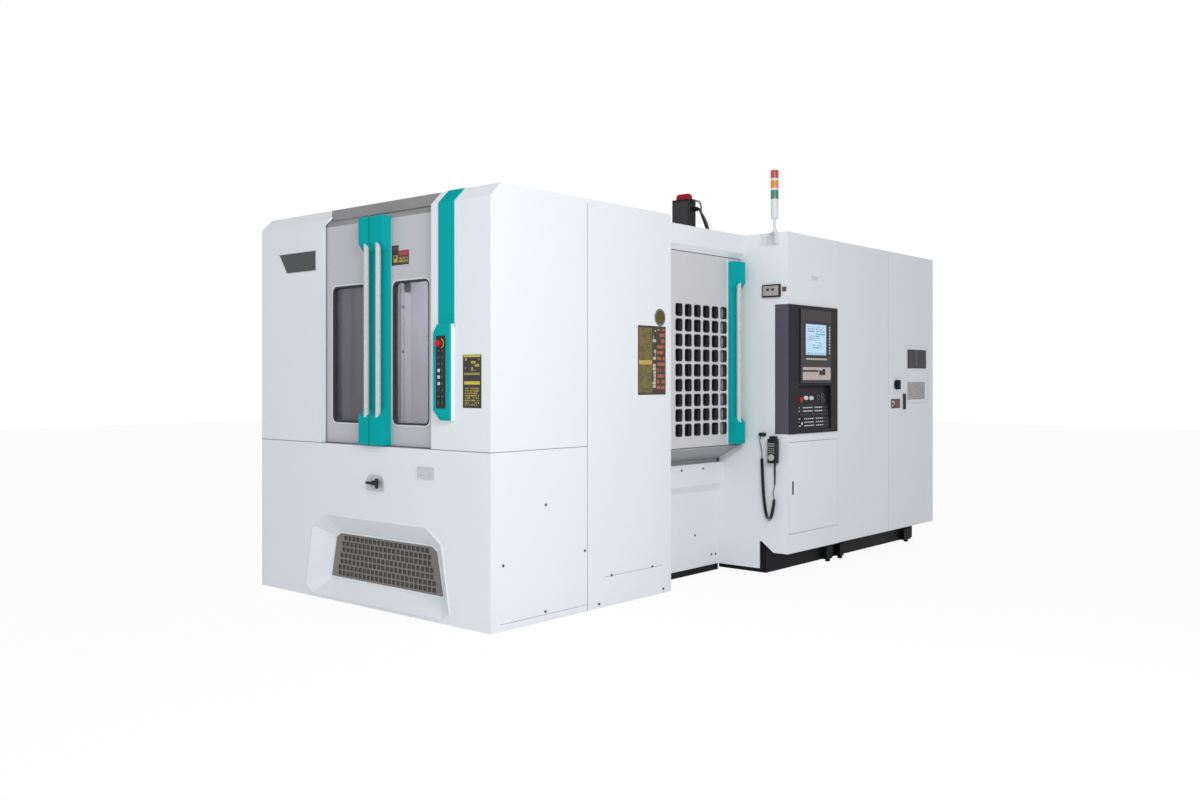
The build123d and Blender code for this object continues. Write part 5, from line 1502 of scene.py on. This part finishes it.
@dataclass
class OperatorPanel(Part):
    """The black housing: bezel, display, soft keys, drive slot, sloped desk with keys and caps."""

    housing_out: float = 1.360
    bezel_out: float = 1.366
    frame_out: float = 1.3674
    cover_out: float = 1.3704
    board_y: Span = (0.2615, 0.7215)
    board_z: Span = (1.449, 2.007)
    screen_y: Span = (0.3335, 0.6535)
    screen_z: Span = (1.6636, 1.8976)
    desk_top: float = 1.4296
    desk_foot: float = 1.0946
    desk_depth_top: float = 0.035
    desk_depth_foot: float = 0.008
    key_rows: tuple[float, ...] = (1.262, 1.236, 1.210, 1.178, 1.152, 1.126)
    marked_rows: tuple[int, ...] = (0, 1, 3, 4, 5)
    marked_columns: tuple[int, ...] = (0, 1, 2, 3, 4, 6, 7, 8, 9)
    caps: tuple[Span, ...] = ((0.3900, 1.336), (0.4700, 1.334))
    knobs: tuple[Span, ...] = ((0.582, 1.338), (0.648, 1.350), (0.648, 1.316))

    def build(self, shop: Shop) -> None:
        """Dress the operator's panel."""
        near = Line("y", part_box("operator_housing")[0][1], 0.004)
        black = PowderCoat((0.014, 0.0135, 0.019), 0.45, 0.1, (near,), (0.100, 0.093, 0.122), gloss=0.12)
        shop.finishes["housing_black"] = (black, "housing_black")
        shop.finishes["screen_blue"] = (self.display(), "screen_blue")
        shop.coat("housing_black", "operator_housing")
        shop.coat("screen_blue", "screen")
        shop.coat("red_plastic", "panel_stop_button")
        shop.coat("black_plastic", "override_knob")
        low, high = (self.screen_y[0], self.screen_z[0]), (self.screen_y[1], self.screen_z[1])
        board = surround(self.board_y, self.board_z, low, high, -0.001, 0.0015)
        shop.add("bezel_board", Face(Side.RIGHT, self.bezel_out), board, "bezel_grey")
        bezel = Face(Side.RIGHT, self.frame_out)
        middle = (sum(self.screen_y) / 2, sum(self.screen_z) / 2)
        section = [(0.0, -0.003), (0.014, -0.002), (0.014, 0.0015), (0.010, 0.002), (0.0, 0.0)]
        frame = loft(rounded(middle, (0.330, 0.244), 0.004, 3), section, looped=True)
        shop.add("screen_bezel", bezel, frame, "black_plastic", slot="housing_black")
        key = pad((0, 0), (0.016, 0.014), 0.002, 3, 0.004, 0.001)
        shop.add("soft_keys", bezel, key.repeated(grid((0.692,), np.linspace(1.68, 1.88, 10))), "key_beige")
        low = pad((0, 0), (0.022, 0.014), 0.002, 3, 0.004, 0.001)
        shop.add("screen_keys", bezel, low.repeated(grid(np.linspace(0.352, 0.636, 10), (1.632,))), "key_beige")
        slots = pad((0.4985, 1.521), (0.420, 0.098), 0.006, 4, 0.003, 0.001)
        shop.add("slot_panel", bezel, slots, "slot_beige")
        cover = Face(Side.RIGHT, self.cover_out)
        mouth = pad((0.400, 1.541), (0.230, 0.014), 0.003, 3, 0.0012, 0.0004)
        shop.add("slot_mouth", cover, mouth, "pull_wine")
        latch = pad((0.575, 1.528), (0.085, 0.034), 0.004, 3, 0.005, 0.0015)
        tab = pad((0.600, 1.549), (0.030, 0.016), 0.003, 3, 0.004, 0.001)
        shop.add("slot_latch", cover, joined([latch, tab]), "black_plastic")
        self.desk(shop)
        name_plate = pad((0.4935, 2.2515), (0.106, 0.031), 0.003, 3, 0.002, 0.0005)
        shop.add("column_plate", Face(Side.RIGHT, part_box("console_fascia")[1][0]), name_plate, "lit_key")

    def display(self) -> PrintedPlate:
        """The lit picture: pale blue ground, header, strips and rows of bars."""
        ink = (0.13, 0.22, 0.40)
        fields = (
            Field((0.10, 0.92), (0.74, 0.92), (0.44, 0.60, 0.80), ink, PrintKind.BARS, 0.017),
            Field((0.50, 0.94), (0.66, 0.70), (0.05, 0.34, 0.38)),
            Field((0.10, 0.66), (0.46, 0.64), (0.46, 0.62, 0.80), ink, PrintKind.BARS, 0.015),
            Field((0.36, 0.76), (0.20, 0.42), (0.48, 0.64, 0.82), ink, PrintKind.BARS, 0.019),
            Field((0.04, 0.96), (0.03, 0.08), (0.06, 0.34, 0.42), (0.62, 0.74, 0.84), PrintKind.BARS, 0.011),
        )
        return PrintedPlate("y", self.screen_y, self.screen_z, (0.42, 0.62, 0.82), fields, 0.2, 0.35)

    def desk(self, shop: Shop) -> None:
        """Keys, caps and knobs on the sloped desk, and the override knob's cap.

        Args:
            shop: The shared frame and finishes.
        """
        lean = (self.desk_depth_foot - self.desk_depth_top) / (self.desk_top - self.desk_foot)
        desk = Face(Side.RIGHT, self.housing_out - self.desk_depth_foot, lean, self.desk_foot)
        key = pad((0, 0), (0.020, 0.016), 0.002, 3, 0.005, 0.001)
        rows = np.array(self.key_rows)
        short = np.linspace(0.345, 0.700, 13)
        shop.add("desk_keys", desk, key.repeated(grid(np.linspace(0.2633, 0.700, 16), rows[:3])), "key_grey")
        shop.add("desk_lower_keys", desk, key.repeated(grid(short, rows[3:])), "key_grey")
        mark = pad((0, 0), (0.019, 0.008), 0.001, 2, 0.0056, 0.0004)
        columns = np.concatenate([[0.270], short[list(self.marked_columns)]])
        shop.add("desk_marks", desk, mark.repeated(grid(columns, rows[list(self.marked_rows)])), "lit_key")
        cap = pad((0, 0), (0.056, 0.030), 0.014, 8, 0.008, 0.003)
        shop.add("desk_caps", desk, cap.repeated(spots(*self.caps)), "lit_key")
        knob = turned((0, 0), [(0.016, 0.0), (0.014, 0.004), (0.012, 0.012), (0.010, 0.013), (0.002, 0.013)], 20)
        shop.add("desk_knobs", desk, knob.repeated(spots(*self.knobs)), "key_grey")
        ring = loft(circle((0, 0), 24), [(0.017, 0.0), (0.020, 0.0), (0.020, 0.0015), (0.017, 0.0015)], looped=True)
        shop.add("desk_rings", desk, ring.repeated(spots(*self.knobs)), "mark_grey")
        low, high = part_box("override_knob")
        middle = ((low[1] + high[1]) / 2, (low[2] + high[2]) / 2)
        top = turned(middle, [(0.011, -0.001), (0.011, 0.001), (0.008, 0.002), (0.001, 0.002)], 20)
        shop.add("override_cap", Face(Side.RIGHT, high[0]), top, "lit_key", "override_knob")


@dataclass
class Cabinets(Part):
    """The two tall cabinets, their fittings, and the power door's bare plates."""

    door_out: float = 1.350
    pull_depth: float = 0.002

    def build(self, shop: Shop) -> None:
        """Dress the cabinets."""
        shop.coat("body_white", "service_door", "power_door")
        shop.coat("black_plastic", "breaker_handle", "power_door_latch")
        shop.coat("unit_grey", "drive_units")
        face = Face(Side.RIGHT, self.door_out)
        board = rounded((2.3125, 1.5225), (0.412, 0.499), 0.010, 4)
        shop.add("board_edge", face, trim(board, 0.006, 0.003), "plate_white", "power_door")
        fields = (
            Field((0.05, 0.40), (0.06, 0.94), (0.030, 0.027, 0.030)),
            Field((0.42, 0.50), (0.10, 0.94), (0.085, 0.08, 0.085)),
            Field((0.58, 0.94), (0.06, 0.94), (0.028, 0.024, 0.027)),
        )
        window = PrintedPlate("y", (2.1165, 2.4915), (1.576, 1.742), SOOT, fields, 0.6)
        shop.printed("board_window", face, window.sheet(0.006, 0.004, 0.001, 4), window, "power_door")
        marks = (Field((0.02, 0.98), (0.04, 0.96), (0.40, 0.38, 0.38), (0.26, 0.25, 0.25), PrintKind.BARS, 0.018),)
        notes = PrintedPlate("y", (2.11675, 2.47025), (1.300, 1.455), (0.36, 0.35, 0.35), marks)
        shop.printed("board_notes", face, notes.sheet(0.004, 0.0012), notes, "power_door", "light_grey_plastic")
        marks = (
            Field((0.10, 0.42), (0.20, 0.80), (0.50, 0.44, 0.36), SOOT, PrintKind.BLOCKS, 0.02),
            Field((0.56, 0.92), (0.15, 0.85), (0.22, 0.05, 0.035), SOOT, PrintKind.BARS, 0.014),
        )
        label = PrintedPlate("y", (1.7945, 1.9675), (1.229, 1.310), (0.045, 0.022, 0.018), marks)
        shop.printed("breaker_label", face, label.sheet(0.004, 0.0012), label, "power_door")
        grip = pad((0.1755, 0.665), (0.026, 0.100), 0.006, 4, 0.0015, 0.0005)
        pull = Face(Side.RIGHT, self.door_out - self.pull_depth)
        shop.add("console_pull_face", pull, grip, "pull_wine", "console_door")
        shop.coat("base_black", "base_frame", "levelling_feet")


@dataclass
class RoofGear(Part):
    """Axis motor, tower light, and the fittings and handset of the operator's column."""

    meter_out: float = -0.0815
    column_out: float = -0.1015
    handset_out: float = -0.0415
    light_place: Span = (1.260, 0.0635)
    lens_height: float = 0.072

    def build(self, shop: Shop) -> None:
        """Dress the roof's gear and the column's fittings."""
        shop.coat("motor_black", "axis_motor")
        flank = pad((-0.070, 2.880), (0.158, 0.270), 0.006, 4, 0.002, 0.0008)
        shop.add("motor_flank", Face(Side.FRONT, -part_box("axis_motor")[0][1] - 0.001), flank, "flank_grey")
        shop.coat("stand_white", "stack_light_stand")
        shop.coat("lens_red", "stack_lenses")
        collar = turned(self.light_place, [(0.010, 2.879), (0.0265, 2.880), (0.0265, 2.898), (0.010, 2.899)], 28)
        collars = collar.repeated(np.array([[0, 0, 0], [0, 0, self.lens_height]]))
        shop.add("lens_collars", Face(Side.TOP, 0.0), collars, "collar_clear", smooth=True)
        shop.coat("black_plastic", "console_fittings", "handset")
        shop.coat("dial_grey", "handset_dial")
        meter = Face(Side.FRONT, self.meter_out)
        shop.add("meter_face", meter, pad((1.2155, 2.139), (0.132, 0.074), 0.004, 3, 0.003, 0.001), "meter_beige")
        dot = pad((0, 0), (0.024, 0.018), 0.004, 3, 0.0036, 0.0003)
        shop.add("meter_windows", meter, dot.repeated(spots((1.190, 2.148), (1.234, 2.148))), "meter_brown")
        socket = pad((1.3215, 2.1475), (0.033, 0.035), 0.003, 3, 0.006, 0.001)
        shop.add("column_socket", Face(Side.FRONT, self.column_out), socket, "socket_brown")
        front = Face(Side.FRONT, self.handset_out)
        strips = [pad((1.245, high), (0.058, 0.008), 0.002, 3, 0.0025, 0.0008) for high in (0.998, 0.981)]
        shop.add("handset_strips", front, joined(strips), "strip_grey")
        key = pad((0, 0), (0.013, 0.009), 0.002, 3, 0.003, 0.0008)
        keys = key.repeated(grid((1.228, 1.246, 1.264), (0.962, 0.947, 0.932)))
        shop.add("handset_keys", front, keys, "mark_grey")


@dataclass
class Interior(Part):
    """What shows through the windows and the open doors, with the lining of the chamber's left wall."""

    wall_x: float = -1.3648
    sheet_thickness: float = 0.004
    rib_places: tuple[float, ...] = (-1.442, -1.352, -1.802)
    screws: tuple[Span, ...] = (
        (-1.198, 2.166), (-1.179, 2.110), (-1.179, 1.850), (-1.179, 1.560), (-1.310, 2.060), (-1.310, 1.700),
    )

    def build(self, shop: Shop) -> None:
        """Dress the inner machine, and line the wall with sheet, ribs, screws, and black pads at a slot and a
        window that are painted shade for the dark view into them.
        """
        shop.coat("casting_grey", "machine_bed", "spindle_column", "spindle_head", "z_saddle", "x_slide")
        shop.coat("ground_steel", "spindle", "rotary_table", "pallets", "tool_magazine")
        shop.coat("changer_grey", "pallet_changer", "bulkhead")
        wall = Face(Side.RIGHT, self.wall_x)
        sheet = pad((-1.655, 1.765), (1.580, 1.370), 0.01, 3, self.sheet_thickness, 0.001)
        shop.add("chamber_lining", wall, sheet, "lining_grey")
        rib = pad((0, 1.765), (0.030, 1.360), 0.004, 3, 0.018, 0.003)
        shop.add("chamber_ribs", wall, rib.repeated(grid(self.rib_places, (0.0,))), "rib_grey")
        # Painted shade: black pads where the wall's window and slot show dark.
        window_shade_pad = pad((-1.002, 1.680), (0.262, 0.778), 0.050, 6, 0.012, 0.003)
        slot = pad((-1.2745, 2.222), (0.043, 0.080), 0.004, 3, 0.030, 0.002)
        shop.add("chamber_openings_shade", wall, joined([window_shade_pad, slot]), "black_plastic")
        lining = Face(Side.RIGHT, self.wall_x + self.sheet_thickness)
        shop.add("chamber_screws", lining, screw_head(0.011).repeated(spots(*self.screws)), "black_plastic")


def main() -> None:
    """Load the frame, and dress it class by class."""
    logging.basicConfig(level=logging.INFO, format="%(name)s: %(message)s")
    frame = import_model()
    shop = Shop(frame)
    Studio().build()
    parts = (Cords(), Cladding(), FrontTrim(), FrontDoors(), ControlPod(), SideWindows())
    parts += (OperatorPanel(), Cabinets(), RoofGear(), Interior())
    for part in parts:
        part.build(shop)


if __name__ == "__main__":
    main()
